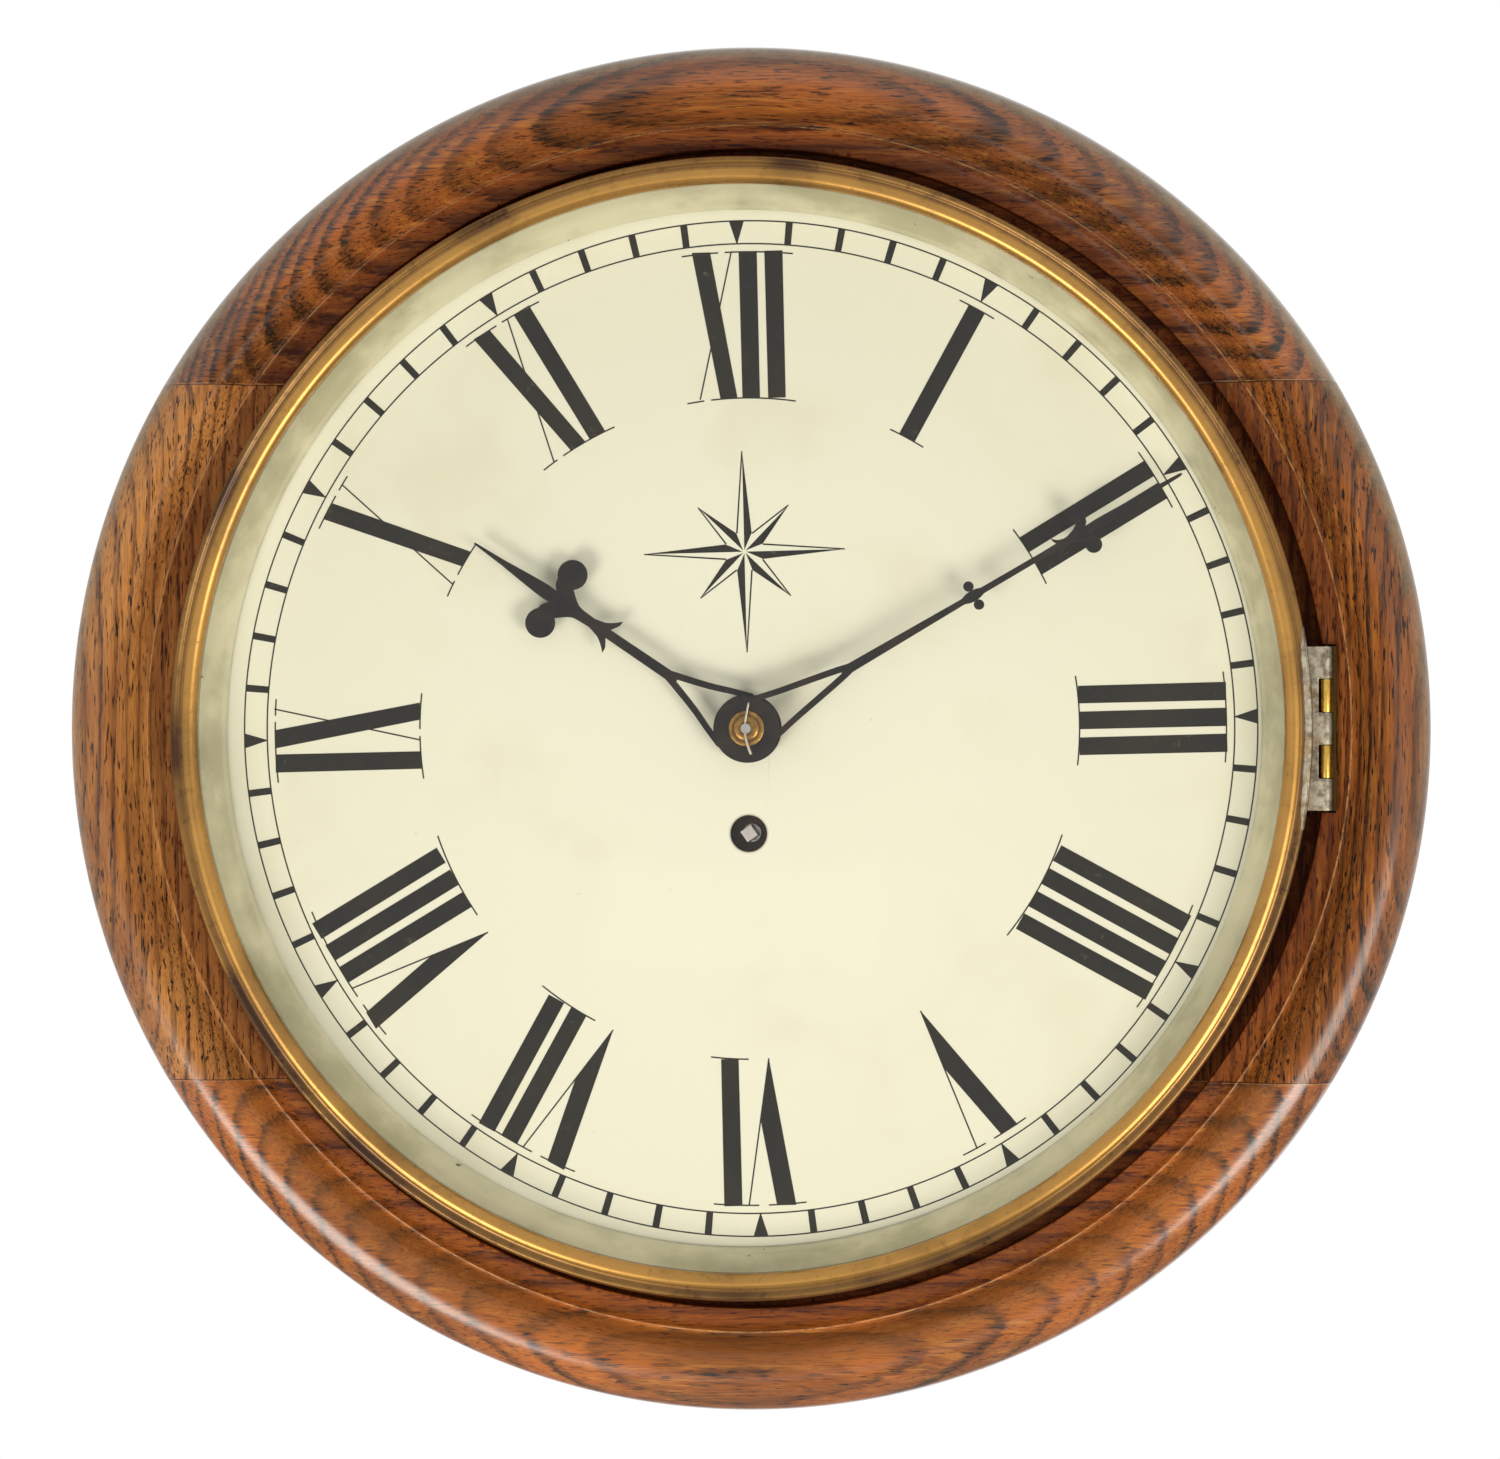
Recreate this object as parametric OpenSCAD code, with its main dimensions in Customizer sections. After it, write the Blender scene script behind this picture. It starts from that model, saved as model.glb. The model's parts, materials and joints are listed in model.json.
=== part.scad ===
// Wall clock with a round oak surround, a painted iron dial and a spring-driven fusee movement.
// Millimetres. X is to the right, Z is up and the dial looks towards -Y.
// The origin lies on the dial's axis, on the wall that the clock hangs against.
// Sub-parts are drawn in the dial's plane, x right and y up, with depth measured forwards from the wall.

/* [Dial and surround] */
// Radius of the dial that shows inside the sight ring
sight_r = 170; // [165:0.5:210]
// Width of the sloping sight ring, seen from the front
sight_ring_w = 7.4; // [6:0.2:9]
// Width of the bezel's moulded face
bezel_w = 9; // [8.5:0.1:11]
// Gap between the bezel and the recess in the wood
bezel_gap = 2.8; // [2.7:0.1:4]
// How far the bezel hangs to the left of the dial's axis
bezel_shift = 2.2; // [0:0.1:2.2]
// Width of the wooden moulding, from the recess to the outside
wood_w = 33.3; // [30:0.1:42]
// Height of the upper board joints above the dial's axis
upper_joint = 112.5; // [108:0.5:120]
// Depth of the lower board joints below the dial's axis
lower_joint = 114.8; // [108:0.1:120]
// Turn of the painted dial to the left, in degrees
dial_turn = 1.4; // [-3:0.1:3]

/* [Box behind the dial] */
// Depth from the wall to the back of the surround
box_depth = 100; // [96:1:130]
// Half of the box's inner width
box_half_w = 116; // [112:1:125]
// Thickness of the box sides
side_t = 12; // [10:0.5:14]
// Thickness of the back board
back_t = 9; // [6:0.5:12]
// Thickness of the curved bottom and of the top
curve_t = 9; // [8:0.5:11]
// Height of the box top above the dial's axis
box_top_z = 150; // [140:1:160]
// How far the curved bottom stays inside the surround's edge
curve_inset = 17.5; // [14:0.5:24]
// Radius of the hole in the hanging plate
hang_hole_r = 5; // [3:0.5:6]
// Thickness of the hanging plate
hang_plate_t = 2.5; // [2:0.1:4]

/* [Bezel and glass] */
// Thickness of the glass
glass_t = 2.5; // [2:0.1:3]
// Radius of the hinge barrel
barrel_r = 2; // [1.8:0.1:2.2]
// Radius of the hinge pin
hinge_pin_r = 0.8; // [0.6:0.05:1]
// Length of each of the five hinge knuckles
knuckle_l = 10.7; // [9:0.1:12]

/* [Movement] */
// Length of the dial feet, from the front plate to the dial
dial_foot_l = 20.8; // [20.8:0.1:24]
// Thickness of the movement plates
plate_t = 2.8; // [2.4:0.1:3.2]
// Distance between the movement plates
plate_gap = 44.2; // [44.2:0.1:54]
// Distance from the hands' axis down to the winding square
wind_drop = 34.4; // [33:0.1:37]
// Side of the winding square
wind_square = 4.1; // [3.5:0.1:4.1]
// Radius of the winding hole in the dial
wind_hole_r = 6.05; // [5:0.05:7]
// Length of the pendulum, from its bend to the middle of the bob
pendulum_l = 205; // [170:1:205]
// Radius of the pendulum bob
bob_r = 26; // [22:0.5:26]
// Radius of the centre arbor where it carries the hands
hand_arbor_r = 1.6; // [1.4:0.05:1.7]
// Radius of the spring barrel
drum_r = 25; // [22:0.5:25]

/* [Hands] */
// Length of the hour hand
hour_hand_l = 109; // [100:1:112]
// Thickness of both hands
hand_t = 1.2; // [1:0.1:1.3]
// How far the minute hand stops short of the sight ring
minute_hand_short = 5.5; // [4:0.5:10]

/* [Hidden] */
$fn = 96;

// Clearances
running = 0.05;
loose = 0.3;
press = 0.02;

// Radii of the dial end of the clock
bezel_in_r = sight_r + sight_ring_w;
bezel_r = bezel_in_r + bezel_w;
dial_r = bezel_in_r + 5.6;
recess_r = bezel_r + bezel_gap;
case_r = recess_r + wood_w;
arris_r = recess_r + 7.8;
cove_r = arris_r + 4.4;
round_half_w = (case_r - cove_r) / 2;

// Depths from the wall to the glass
ledge = 19.8;
dial_t = 1.2;
seat = box_depth + ledge;
dial_front = seat + dial_t;
paint_t = 0.1;
wood_flat_in = seat + 11.7;
wood_flat_out = wood_flat_in + 2.1;
round_mid = seat + 10.7;
round_h = 11.5;
glass_back = dial_front + 15.3;
glass_front = glass_back + glass_t;
bezel_front = glass_front + 2.5;
skirt_t = 1.8;

// The opening behind the dial and the box
opening_half = 104;
inner_r = 90;
curve_r = case_r - curve_inset;
box_outer = box_half_w + side_t;
block_z = [70, 106];
block_depth = 24;
peg_r = 4;

// Bottom door, by angle from straight down
door_half_angle = 16;
door_edge = [20, box_depth - 10];
door_gap = 0.4;
door_pin_r = 1.5;
pin_mid_r = curve_r - curve_t / 2;
pin_half_angle = door_half_angle - 1.4;
bottom_pin = pin_mid_r * [-sin(pin_half_angle), -cos(pin_half_angle)];

// Side door, by height and depth
side_door_z = [-60, 45];
side_pin_depth = 27;
side_door_front = box_depth - 16;
side_pin_x = box_half_w + side_t / 2;

// Turn-buttons
button_t = 2;
button_w = 8;
button_arm = 18;
bottom_button_angle = 19.6;
side_button_depth = box_depth - 8;
side_button_z = -8;

// Hinge of the bezel
hinge_x = bezel_r - bezel_shift + 4.4;
hinge_depth = glass_back - 2.4;
leaf_t = 1.2;
knuckle_gap = 0.1;
hinge_half = 2.5 * knuckle_l;
case_leaf_x = hinge_x + barrel_r + 0.1;
notch_wall_x = case_leaf_x + leaf_t + press;
notch_floor = seat + 1.2;

// Screws
wood_screw_r = 1.5;
wood_screw_l = 10;
wood_head_r = 3;
dial_screw_r = dial_r - 4.5;

// Depths of the movement
front_face = seat - dial_foot_l;
front_back = front_face - plate_t;
back_front = front_back - plate_gap;
back_face = back_front - plate_t;
swing_depth = back_face - 18.2;

// Outline of the plates, and what stands in their corners
plate_x = [-78, 44];
plate_z = [-94, 72];
pillar_at = [[-72, 66], [38, 66], [38, -88], [-72, -88]];
foot_at = [[-52, 66], [18, 66], [18, -88], [-44, -88]];
pillar_r = 4;
spigot_r = 2.5;
pin_r = 0.8;

// Wheel train
great_teeth = 96;
centre_pinion = 8;
centre_teeth = 84;
third_pinion = 7;
third_teeth = 77;
escape_pinion = 7;
escape_teeth = 30;
great_module = 2 * wind_drop / (great_teeth + centre_pinion);
centre_module = 0.6;
third_module = 0.55;
fusee_at = [0, -wind_drop];
escape_at = [0, 36];
third_reach = centre_module * (centre_teeth + third_pinion) / 2;
escape_reach = third_module * (third_teeth + escape_pinion) / 2;
third_z = (pow(third_reach, 2) - pow(escape_reach, 2) + pow(escape_at.y, 2)) / (2 * escape_at.y);
third_at = [sqrt(pow(third_reach, 2) - pow(third_z, 2)), third_z];
pallet_at = escape_at + [0, 24];
escape_r = 17;

// Motion work behind the dial
motion_reach = 28.8;
cannon_teeth = 30;
minute_teeth = 60;
minute_pinion = 10;
hour_teeth = 60;
cannon_module = 2 * motion_reach / (cannon_teeth + minute_teeth);
hour_module = 2 * motion_reach / (minute_pinion + hour_teeth);
motion_at = [0, motion_reach];
pipe_r = hand_arbor_r + 1.5;
bridge_pipe_r = pipe_r + 1.4;
hour_pipe_r = bridge_pipe_r + 1.3;
bridge_foot_x = 32;

// Depths of the motion work and the hands, forwards of the front plate
cannon_depth = front_face + 3;
bridge_depth = front_face + 5.8;
hour_wheel_depth = front_face + 8;
wheel_t = 1.6;
hour_hand_depth = dial_front + 5;
minute_hand_depth = dial_front + 9;
collet_depth = minute_hand_depth + hand_t + 0.1;
hand_pin_depth = dial_front + 13;
arbor_end = dial_front + 14.2;
hour_boss_r = 10.9;
minute_boss_r = 9.8;

// Time shown, as angles anticlockwise from three o'clock
minute_angle = 30.3;
hour_angle = 145.9;
minute_hand_l = sight_r - minute_hand_short;

// Fusee, barrel and line
drum_at = [-50, -66];
drum_wall = 1.6;
drum_depth = [back_front + 6.5, back_front + 38];
fusee_depth = [back_front + 8, back_front + 35];
fusee_big_r = 22.5;
fusee_small_r = 10.5;
fusee_turns = 16;
fusee_arbor_r = 3;
line_r = 0.5;
drum_arbor_r = 4;
drum_pivot_r = 3;

// Pendulum
rod_r = 1.4;
strip_t = 0.3;
strip_w = 6;
bob_t = 14;
bob_z = pallet_at.y - pendulum_l;
nut_h = 6;
nut_r = 5;

oak = "sienna";
brass = "goldenrod";
steel = "slategray";

function polar(r, a) = [r * cos(a), r * sin(a)];
function arc(c, rx, ry, from, to, n) =
  [for (i = [0:n]) let (t = from + (to - from) * i / n) [c.x + rx * cos(t), c.y + ry * sin(t)]];
function bar(p, q, wp, wq) =
  let (d = q - p, s = [-d.y, d.x] / norm(d))
  [p + s * wp / 2, q + s * wq / 2, q - s * wq / 2, p - s * wp / 2];

// A toothed outline: tooth thickness, addendum and dedendum are in modules
function toothed(m, z, thick, add, ded, tip) =
  let (r = m * z / 2, h = thick * m / 2 / r * 180 / PI)
  [for (i = [0:z - 1]) let (a = 360 * i / z) each [
    polar(r - ded * m, a - h), polar(r, a - h), polar(r + add * m, a - h * tip),
    polar(r + add * m, a + h * tip), polar(r, a + h), polar(r - ded * m, a + h)
  ]];
function wheel_points(m, z) = toothed(m, z, 1.45, 1.3, 1.5, 0.2);
function leaf_points(m, z) = toothed(m, z, 1.05, 0.5, 1.7, 0.45);

// The dial's plane: x right, y up, z forwards from the wall
module face() rotate([90, 0, 0]) children();
module at(p, depth) translate([p.x, p.y, depth]) children();
module rod(p, from, to, r) at(p, from) cylinder(r = r, h = to - from);
module slab(x, y, z) translate([x[0], y[0], z[0]]) cube([x[1] - x[0], y[1] - y[0], z[1] - z[0]]);
module plate(points, from, to) translate([0, 0, from]) linear_extrude(to - from) polygon(points);
module ring(outer, inner, from, to) difference() {
  rod([0, 0], from, to, outer);
  rod([0, 0], from - 1, to + 1, inner);
}

// A wheel with four crossings, its first tooth at angle a
module train_wheel(m, z, t, a, hub_r) {
  rim_r = m * z / 2 - 1.5 * m - 1.8;
  difference() {
    rotate([0, 0, a]) linear_extrude(t) polygon(wheel_points(m, z));
    for (k = [0:3]) rotate([0, 0, 90 * k + 45]) translate([0, 0, -1]) linear_extrude(t + 2)
      polygon(concat(
        arc([0, 0], rim_r, rim_r, -45 + 110 / rim_r, 45 - 110 / rim_r, 8),
        arc([0, 0], hub_r, hub_r, 45 - 110 / hub_r, -45 + 110 / hub_r, 3)
      ));
  }
}
// A pinion, with a thin neck at each end before the arbor
neck = 0.8;
module pinion(m, z, a, from, to) {
  translate([0, 0, from]) rotate([0, 0, a]) linear_extrude(to - from) polygon(leaf_points(m, z));
  rod([0, 0], from - neck, to + neck, m * (z / 2 - 2.1));
}

// A round-head wood screw with its head towards +z, seated at z = 0
module round_screw() difference() {
  union() {
    translate([0, 0, -wood_screw_l]) cylinder(r = wood_screw_r, h = wood_screw_l + 0.5);
    cylinder(r = wood_head_r, h = 1);
    translate([0, 0, 1]) cylinder(r1 = wood_head_r, r2 = wood_head_r - 1.2, h = 0.9);
  }
  translate([-wood_head_r - 1, -0.35, 1.2]) cube([2 * wood_head_r + 2, 0.7, 1]);
}
// A countersunk screw with its head's face at z = 0 and its point towards -z
module flat_screw(r, head, l) difference() {
  union() {
    translate([0, 0, -l]) cylinder(r = r, h = l - 0.2);
    translate([0, 0, r - head]) cylinder(r1 = r, r2 = head, h = head - r);
  }
  translate([-head - 1, -0.3, -0.5]) cube([2 * head + 2, 0.6, 1]);
}
module flat_hole(r, head, l) {
  translate([0, 0, -l - 1]) cylinder(r = r + press, h = l + 2);
  translate([0, 0, r - head - press]) cylinder(r1 = r, r2 = head + 1 + press, h = head - r + 1);
}

// Surround: a turned ring of four boards
surround_profile = concat(
  [[inner_r, box_depth], [inner_r, seat], [recess_r, seat], [recess_r, wood_flat_in],
   [arris_r, wood_flat_out], [arris_r + 0.5, wood_flat_out - 0.7],
   [arris_r + 2.4, wood_flat_out - 1.1], [cove_r, wood_flat_out - 0.3]],
  arc([cove_r + round_half_w, round_mid], round_half_w, round_h, 160, 0, 16),
  [[case_r, box_depth + 2], [case_r - 2, box_depth]]
);
far = 2 * case_r;
dial_screw_at = [for (k = [0:3]) polar(dial_screw_r, 45 + 90 * k)];

module surround(x, z) difference() {
  intersection() {
    rotate_extrude() polygon(surround_profile);
    slab(x, z, [box_depth - 1, bezel_front + 20]);
  }
  slab([-opening_half, opening_half], [-lower_joint, upper_joint], [box_depth - 1, seat + 1]);
  for (p = dial_screw_at) rod(p, seat - wood_screw_l, seat + 1, wood_screw_r + press);
}
module surround_top() color(oak) face() surround([-far, far], [upper_joint, far]);
module surround_bottom() color(oak) face() surround([-far, far], [-far, -lower_joint]);
module surround_left() color(oak) face() difference() {
  surround([-far, 0], [-lower_joint, upper_joint]);
  slab([-bezel_r - bezel_shift - 0.4, -bezel_r - bezel_shift + skirt_t + 0.4],
    [-tongue_w / 2 - 1.5, tongue_w / 2 + 1.5], [skirt_back - tongue_l - 2, seat + 1]);
}
module surround_right() color(oak) face() difference() {
  surround([0, far], [-lower_joint, upper_joint]);
  slab([dial_r + 1, notch_wall_x], [-hinge_half - 0.6, hinge_half + 0.6], [notch_floor, bezel_front]);
  for (z = hinge_screw_z) hinge_screw_place(z) flat_hole(1.2, 2.2, 9);
}

// Blocks behind the surround, and the pegs that hold them to the box
block_at = [for (s = [-1, 1], t = [-1, 1]) [s, t]];
peg_depth = box_depth - block_depth / 2;
module block(s, t) slab(
  s < 0 ? [-box_half_w, -opening_half] : [opening_half, box_half_w],
  t < 0 ? [-block_z[1], -block_z[0]] : block_z, [box_depth - block_depth, box_depth]
);
module peg(s, t, slack) at([s * (box_outer + 3), t * (block_z[0] + block_z[1]) / 2], peg_depth)
  rotate([0, -90 * s, 0]) cylinder(r = peg_r + slack, h = side_t + 3 + box_half_w - opening_half - 1);
module surround_blocks() color(oak) face() for (b = block_at) difference() {
  block(b[0], b[1]);
  peg(b[0], b[1], press);
}
module surround_pegs() color("tan") face() for (b = block_at) peg(b[0], b[1], 0);

// Box
module box_back() color(oak) face() difference() {
  intersection() {
    rod([0, 0], 0, back_t, curve_r);
    slab([-box_outer, box_outer], [-far, box_top_z], [-1, back_t + 1]);
  }
  plate(hang_outline, -1, hang_plate_t + press);
  for (p = hang_screw_at) rod(p, 0, back_t + 1, 1.7 + press);
}
module box_side(s) difference() {
  intersection() {
    rod([0, 0], back_t, box_depth, curve_r);
    slab(s < 0 ? [-box_outer, -box_half_w] : [box_half_w, box_outer], [-far, box_top_z],
      [back_t, box_depth]);
  }
  for (t = [-1, 1]) peg(s, t, press);
}
module box_side_left() color(oak) face() box_side(-1);
module box_side_right() color(oak) face() difference() {
  box_side(1);
  slab([box_half_w - 1, box_outer + 1], side_door_z,
    [side_pin_depth - side_t / 2 - door_gap, side_door_front + door_gap]);
  side_pins(press);
  at([box_outer, side_button_z], side_button_depth) rotate([0, 90, 0])
    translate([0, 0, -wood_screw_l]) cylinder(r = wood_screw_r + press, h = wood_screw_l + 1);
}
module box_top() color(oak) face()
  slab([-box_half_w, box_half_w], [box_top_z - curve_t, box_top_z], [back_t, box_depth]);

// A sector of the curved bottom, by angle from straight down
module curve_sector(from, to, depth) intersection() {
  ring(curve_r, curve_r - curve_t, depth[0], depth[1]);
  plate([[0, 0], polar(far, from - 90), polar(far, (from + to) / 2 - 90), polar(far, to - 90)],
    depth[0] - 1, depth[1] + 1);
}
hinge_end_angle = pin_half_angle + (curve_t / 2 + loose) / pin_mid_r * 180 / PI;
free_end_angle = door_half_angle + door_gap / curve_r * 180 / PI;
module box_bottom() color(oak) face() difference() {
  intersection() {
    ring(curve_r, curve_r - curve_t, back_t, box_depth);
    slab([-box_half_w, box_half_w], [-far, 0], [back_t, box_depth]);
  }
  curve_sector(-hinge_end_angle, free_end_angle, door_edge);
  for (d = door_pin_depths) rod(bottom_pin, d[0] - 0.5, d[1] + 0.5, door_pin_r + press);
  bottom_button_place() translate([0, 0, -wood_screw_l - button_t - loose])
    cylinder(r = wood_screw_r + press, h = 2 * wood_screw_l);
}

// Doors that turn on pins, each with its turn-button
door_pin_depths = [[door_edge[0] - 8, door_edge[0] + 12], [door_edge[1] - 12, door_edge[1] + 8]];
module side_pins(slack) for (z = [side_door_z[0] - 8, side_door_z[1] - 12])
  at([side_pin_x, z], side_pin_depth) rotate([-90, 0, 0]) cylinder(r = door_pin_r + slack, h = 20);
module door_pins() color(steel) face() {
  for (d = door_pin_depths) rod(bottom_pin, d[0], d[1], door_pin_r);
  side_pins(0);
}
module bottom_door() color(oak) face() difference() {
  union() {
    curve_sector(-pin_half_angle, door_half_angle, [door_edge[0] + door_gap, door_edge[1] - door_gap]);
    rod(bottom_pin, door_edge[0] + door_gap, door_edge[1] - door_gap, curve_t / 2 - 0.2);
  }
  for (d = door_pin_depths) rod(bottom_pin, d[0] - 0.5, d[1] + 0.5, door_pin_r + running);
}
module side_door() color(oak) face() difference() {
  z = [side_door_z[0] + door_gap, side_door_z[1] - door_gap];
  union() {
    slab([box_half_w, box_outer], z, [side_pin_depth, side_door_front]);
    at([side_pin_x, z[0]], side_pin_depth) rotate([-90, 0, 0])
      cylinder(r = side_t / 2 - 0.2, h = z[1] - z[0]);
  }
  for (z = [side_door_z[0] - 9, side_door_z[1] - 12.5])
    at([side_pin_x, z], side_pin_depth) rotate([-90, 0, 0])
      cylinder(r = door_pin_r + running, h = 21.5);
}

// Turn-buttons: an arm on a screw. Under the screw's head, z = 0
module turn_button() difference() {
  translate([0, 0, -button_t]) linear_extrude(button_t) union() {
    circle(r = button_w / 2);
    polygon(bar([0, 0], [button_arm, 0], button_w - 0.6, 4));
  }
  translate([0, 0, -button_t - 1]) cylinder(r = wood_screw_r + running, h = button_t + 2);
}
module bottom_button_place() rotate([0, 0, bottom_button_angle - 90])
  translate([curve_r + loose + button_t, 0, (door_edge[0] + door_edge[1]) / 2])
  rotate([0, 90, 0]) children();
module side_button_place()
  at([box_outer + loose + button_t, side_button_z], side_button_depth) rotate([0, 90, 0]) children();
module bottom_door_button() color(brass) face() bottom_button_place() rotate([0, 0, 180]) turn_button();
module side_door_button() color(brass) face() side_button_place() rotate([0, 0, 90]) turn_button();
module round_head_screws() color(brass) face() {
  for (p = dial_screw_at) at(p, dial_front + press) round_screw();
  bottom_button_place() translate([0, 0, running]) round_screw();
  side_button_place() translate([0, 0, running]) round_screw();
}

// Hanging plate, let into the back board
hang_top = box_top_z + 36;
hang_outline = [[-16, box_top_z - 42], [16, box_top_z - 42], [16, hang_top - 8], [9, hang_top],
  [-9, hang_top], [-16, hang_top - 8]];
hang_screw_at = [for (x = [-9, 9], z = [box_top_z - 32, box_top_z - 14]) [x, z]];
module hanging_plate() color(brass) face() difference() {
  plate(hang_outline, 0, hang_plate_t);
  rod([0, hang_top - 14], -1, hang_plate_t + 1, hang_hole_r);
  for (p = hang_screw_at) at(p, 0.1) rotate([180, 0, 0]) flat_hole(1.7, 3.2, 8);
}
module hanging_screws() color(steel) face()
  for (p = hang_screw_at) at(p, 0.1) rotate([180, 0, 0]) flat_screw(1.7, 3.2, back_t - 1.5);

// Dial
module dial_plate() color("beige") face() difference() {
  rod([0, 0], seat, dial_front, dial_r);
  rod([0, 0], seat - 1, dial_front + 1, hour_pipe_r + 1.7);
  rod(fusee_at, seat - 1, dial_front + 1, wind_hole_r);
  for (p = dial_screw_at) rod(p, seat - 1, dial_front + 1, wood_screw_r + 0.5);
}
minute_out_r = sight_r - 3.3;
minute_in_r = minute_out_r - 7.5;
numeral_out_r = minute_in_r - 2.8;
numeral_h = 48.4;
numeral_in_r = numeral_out_r - numeral_h;
stroke = 6;
hairline = 0.45;
stroke_gap = 2.6;
v_half = 7.85;
x_w = 13;
letter_gap = 1.8;

// The numerals by hour, each a string of letters read with their feet to the centre
numerals = ["I", "II", "III", "IIII", "V", "VI", "VII", "VIII", "IX", "X", "XI", "XII"];
function letter_w(c) = c == "I" ? stroke : c == "V" ? 2 * v_half : x_w;
function gap_after(c, d) = c == "I" && d == "I" ? stroke_gap : letter_gap;
function text_w(s, n) =
  n == 0 ? 0 : letter_w(s[n - 1]) + (n > 1 ? gap_after(s[n - 2], s[n - 1]) : 0) + text_w(s, n - 1);

// Letters in the numeral's own plane: x across, y outwards from the letters' feet
module serif(y, from, to) translate([from, y - hairline / 2]) square([to - from, hairline]);
module letter(c, x) {
  t = numeral_h;
  if (c == "I") {
    translate([x, 0]) square([stroke, t]);
    serif(t, x - 3.4, x + stroke + 3.4);
    serif(0, x - 3.2, x + stroke + 3.2);
  }
  if (c == "V") {
    m = x + v_half;
    join = t * stroke / (2 * v_half);
    polygon([[m, 0], [x, t], [x + stroke, t], [m + v_half * join / t, join]]);
    polygon(bar([m + v_half * join / t, join], [x + 2 * v_half, t], hairline, hairline));
    serif(t, x - 3.5, x + stroke + 3.5);
    serif(t, x + 2 * v_half - 3, x + 2 * v_half + 5);
  }
  if (c == "X") {
    lean = x_w - stroke + 0.6;
    polygon([[x + lean, 0], [x, t], [x + stroke, t], [x + lean + stroke - 0.4, 0]]);
    polygon(bar([x + 1.4, 0], [x + x_w, t], hairline, hairline));
    serif(t, x - 2.7, x + stroke + 2);
    serif(t, x + x_w - 2, x + x_w + 1.4);
    serif(0, x - 2.8, x + 2.8);
    serif(0, x + lean - 2.8, x + lean + stroke + 2.2);
  }
}
module numeral(h) rotate(-30 * h) translate([0, numeral_in_r]) {
  s = numerals[h - 1];
  w = text_w(s, len(s));
  for (i = [0:len(s) - 1]) letter(s[i], text_w(s, i) - w / 2 + (i > 0 ? gap_after(s[i - 1], s[i]) : 0));
}
tick_w = 2;
dart_w = 5.4;
star_at = [0, 58];
star_r = 33;
star_small_r = 21;
star_waist = 6.5;
star_line = 0.5;

// A traditional eight-point compass star: one half of each point dark, the other outlined
module star_point(r) {
  waist = polar(star_waist, 21);
  slope = (r - waist.x) / waist.y;
  polygon([
    [1.5, 0], [waist.x, -waist.y], [r, 0], waist,
    [waist.x, waist.y - star_line], [r - star_line * slope, 0]
  ]);
}
module star() {
  for (k = [0:3]) rotate(90 * k) star_point(star_r);
  for (k = [0:3]) rotate(90 * k + 45) star_point(star_small_r);
  circle(r = 1);
}
// A circle of the minute track, as 180 short straight sides
function track_circle(r) = arc([0, 0], r, r, 0, 358, 179);
module minute_mark(i) rotate(-6 * i) polygon(i % 5 == 0
  ? [[0, minute_in_r - 0.3], [-dart_w / 2, minute_out_r - 0.2], [dart_w / 2, minute_out_r - 0.2]]
  : bar([0, minute_in_r - 0.2], [0, minute_out_r - 0.2], tick_w, tick_w));
module dial_markings() color("darkslategray") face()
  rotate([0, 0, dial_turn]) translate([0, 0, dial_front]) linear_extrude(paint_t) {
    for (r = [minute_out_r, minute_in_r]) difference() {
      polygon(track_circle(r));
      polygon(track_circle(r - hairline));
    }
    for (i = [0:59]) minute_mark(i);
    for (h = [1:12]) numeral(h);
    translate(star_at) star();
  }

// Feet, pillars and the taper pins that hold them
foot_tail = 6.5;
pin_l = 12;
foot_pin_depth = front_back - 1;
pillar_pin_depth = front_face + 1.4;
module pin_place(p, depth) at(p, depth) rotate([-90, 0, 0]) translate([0, 0, -pin_l / 2]) children();
module dial_feet() color(brass) face() for (p = foot_at) difference() {
  union() {
    rod(p, front_face, seat, 4);
    rod(p, front_back - foot_tail + plate_t, front_face + 1, spigot_r);
  }
  pin_place(p, foot_pin_depth) cylinder(r = pin_r + press, h = pin_l);
}
module plate_pillars() color(brass) face() for (p = pillar_at) difference() {
  union() {
    rod(p, back_front, front_back, pillar_r);
    rod(p, front_back - 1, front_face + 3.6, spigot_r);
    rod(p, back_face - 0.4, back_front + 1, spigot_r);
  }
  ring_groove(p);
  pin_place(p, pillar_pin_depth) cylinder(r = pin_r + press, h = pin_l);
}
module ring_groove(p) for (d = [back_front + 10, front_back - 12]) at(p, d) difference() {
  cylinder(r = pillar_r + 1, h = 2);
  translate([0, 0, -1]) cylinder(r = pillar_r - 0.7, h = 4);
}
module taper_pin() cylinder(r1 = pin_r, r2 = pin_r - 0.25, h = pin_l);
module taper_pins() color(steel) face() {
  for (p = foot_at) pin_place(p, foot_pin_depth) taper_pin();
  for (p = pillar_at) pin_place(p, pillar_pin_depth) taper_pin();
}

// Bezel, sight ring and glass, all about the bezel's own centre
module bezel_place() translate([-bezel_shift, 0, 0]) children();
skirt_back = dial_front + 1;
bezel_profile = concat(
  [[bezel_r - skirt_t, skirt_back], [bezel_r, skirt_back], [bezel_r, bezel_front - 1.6]],
  arc([bezel_r - 1.5, bezel_front - 1.6], 1.5, 1.6, 30, 180, 6),
  arc([bezel_r - 4.9, bezel_front - 1.4], 1.7, 0.9, 350, 190, 5),
  arc([bezel_in_r + 1.2, bezel_front - 1.2], 1.2, 1.2, 20, 180, 6),
  [[bezel_in_r, glass_front + 0.1], [bezel_r - skirt_t, glass_front + 0.1]]
);
module bezel_ring() color(brass) face() bezel_place() rotate_extrude() polygon(bezel_profile);
module glass() color("lightcyan", 0.35) face() bezel_place()
  rod([0, 0], glass_back, glass_front, bezel_r - skirt_t - 0.2);
sight_sheet = 0.8;
sight_back = dial_front + 0.5;
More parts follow.
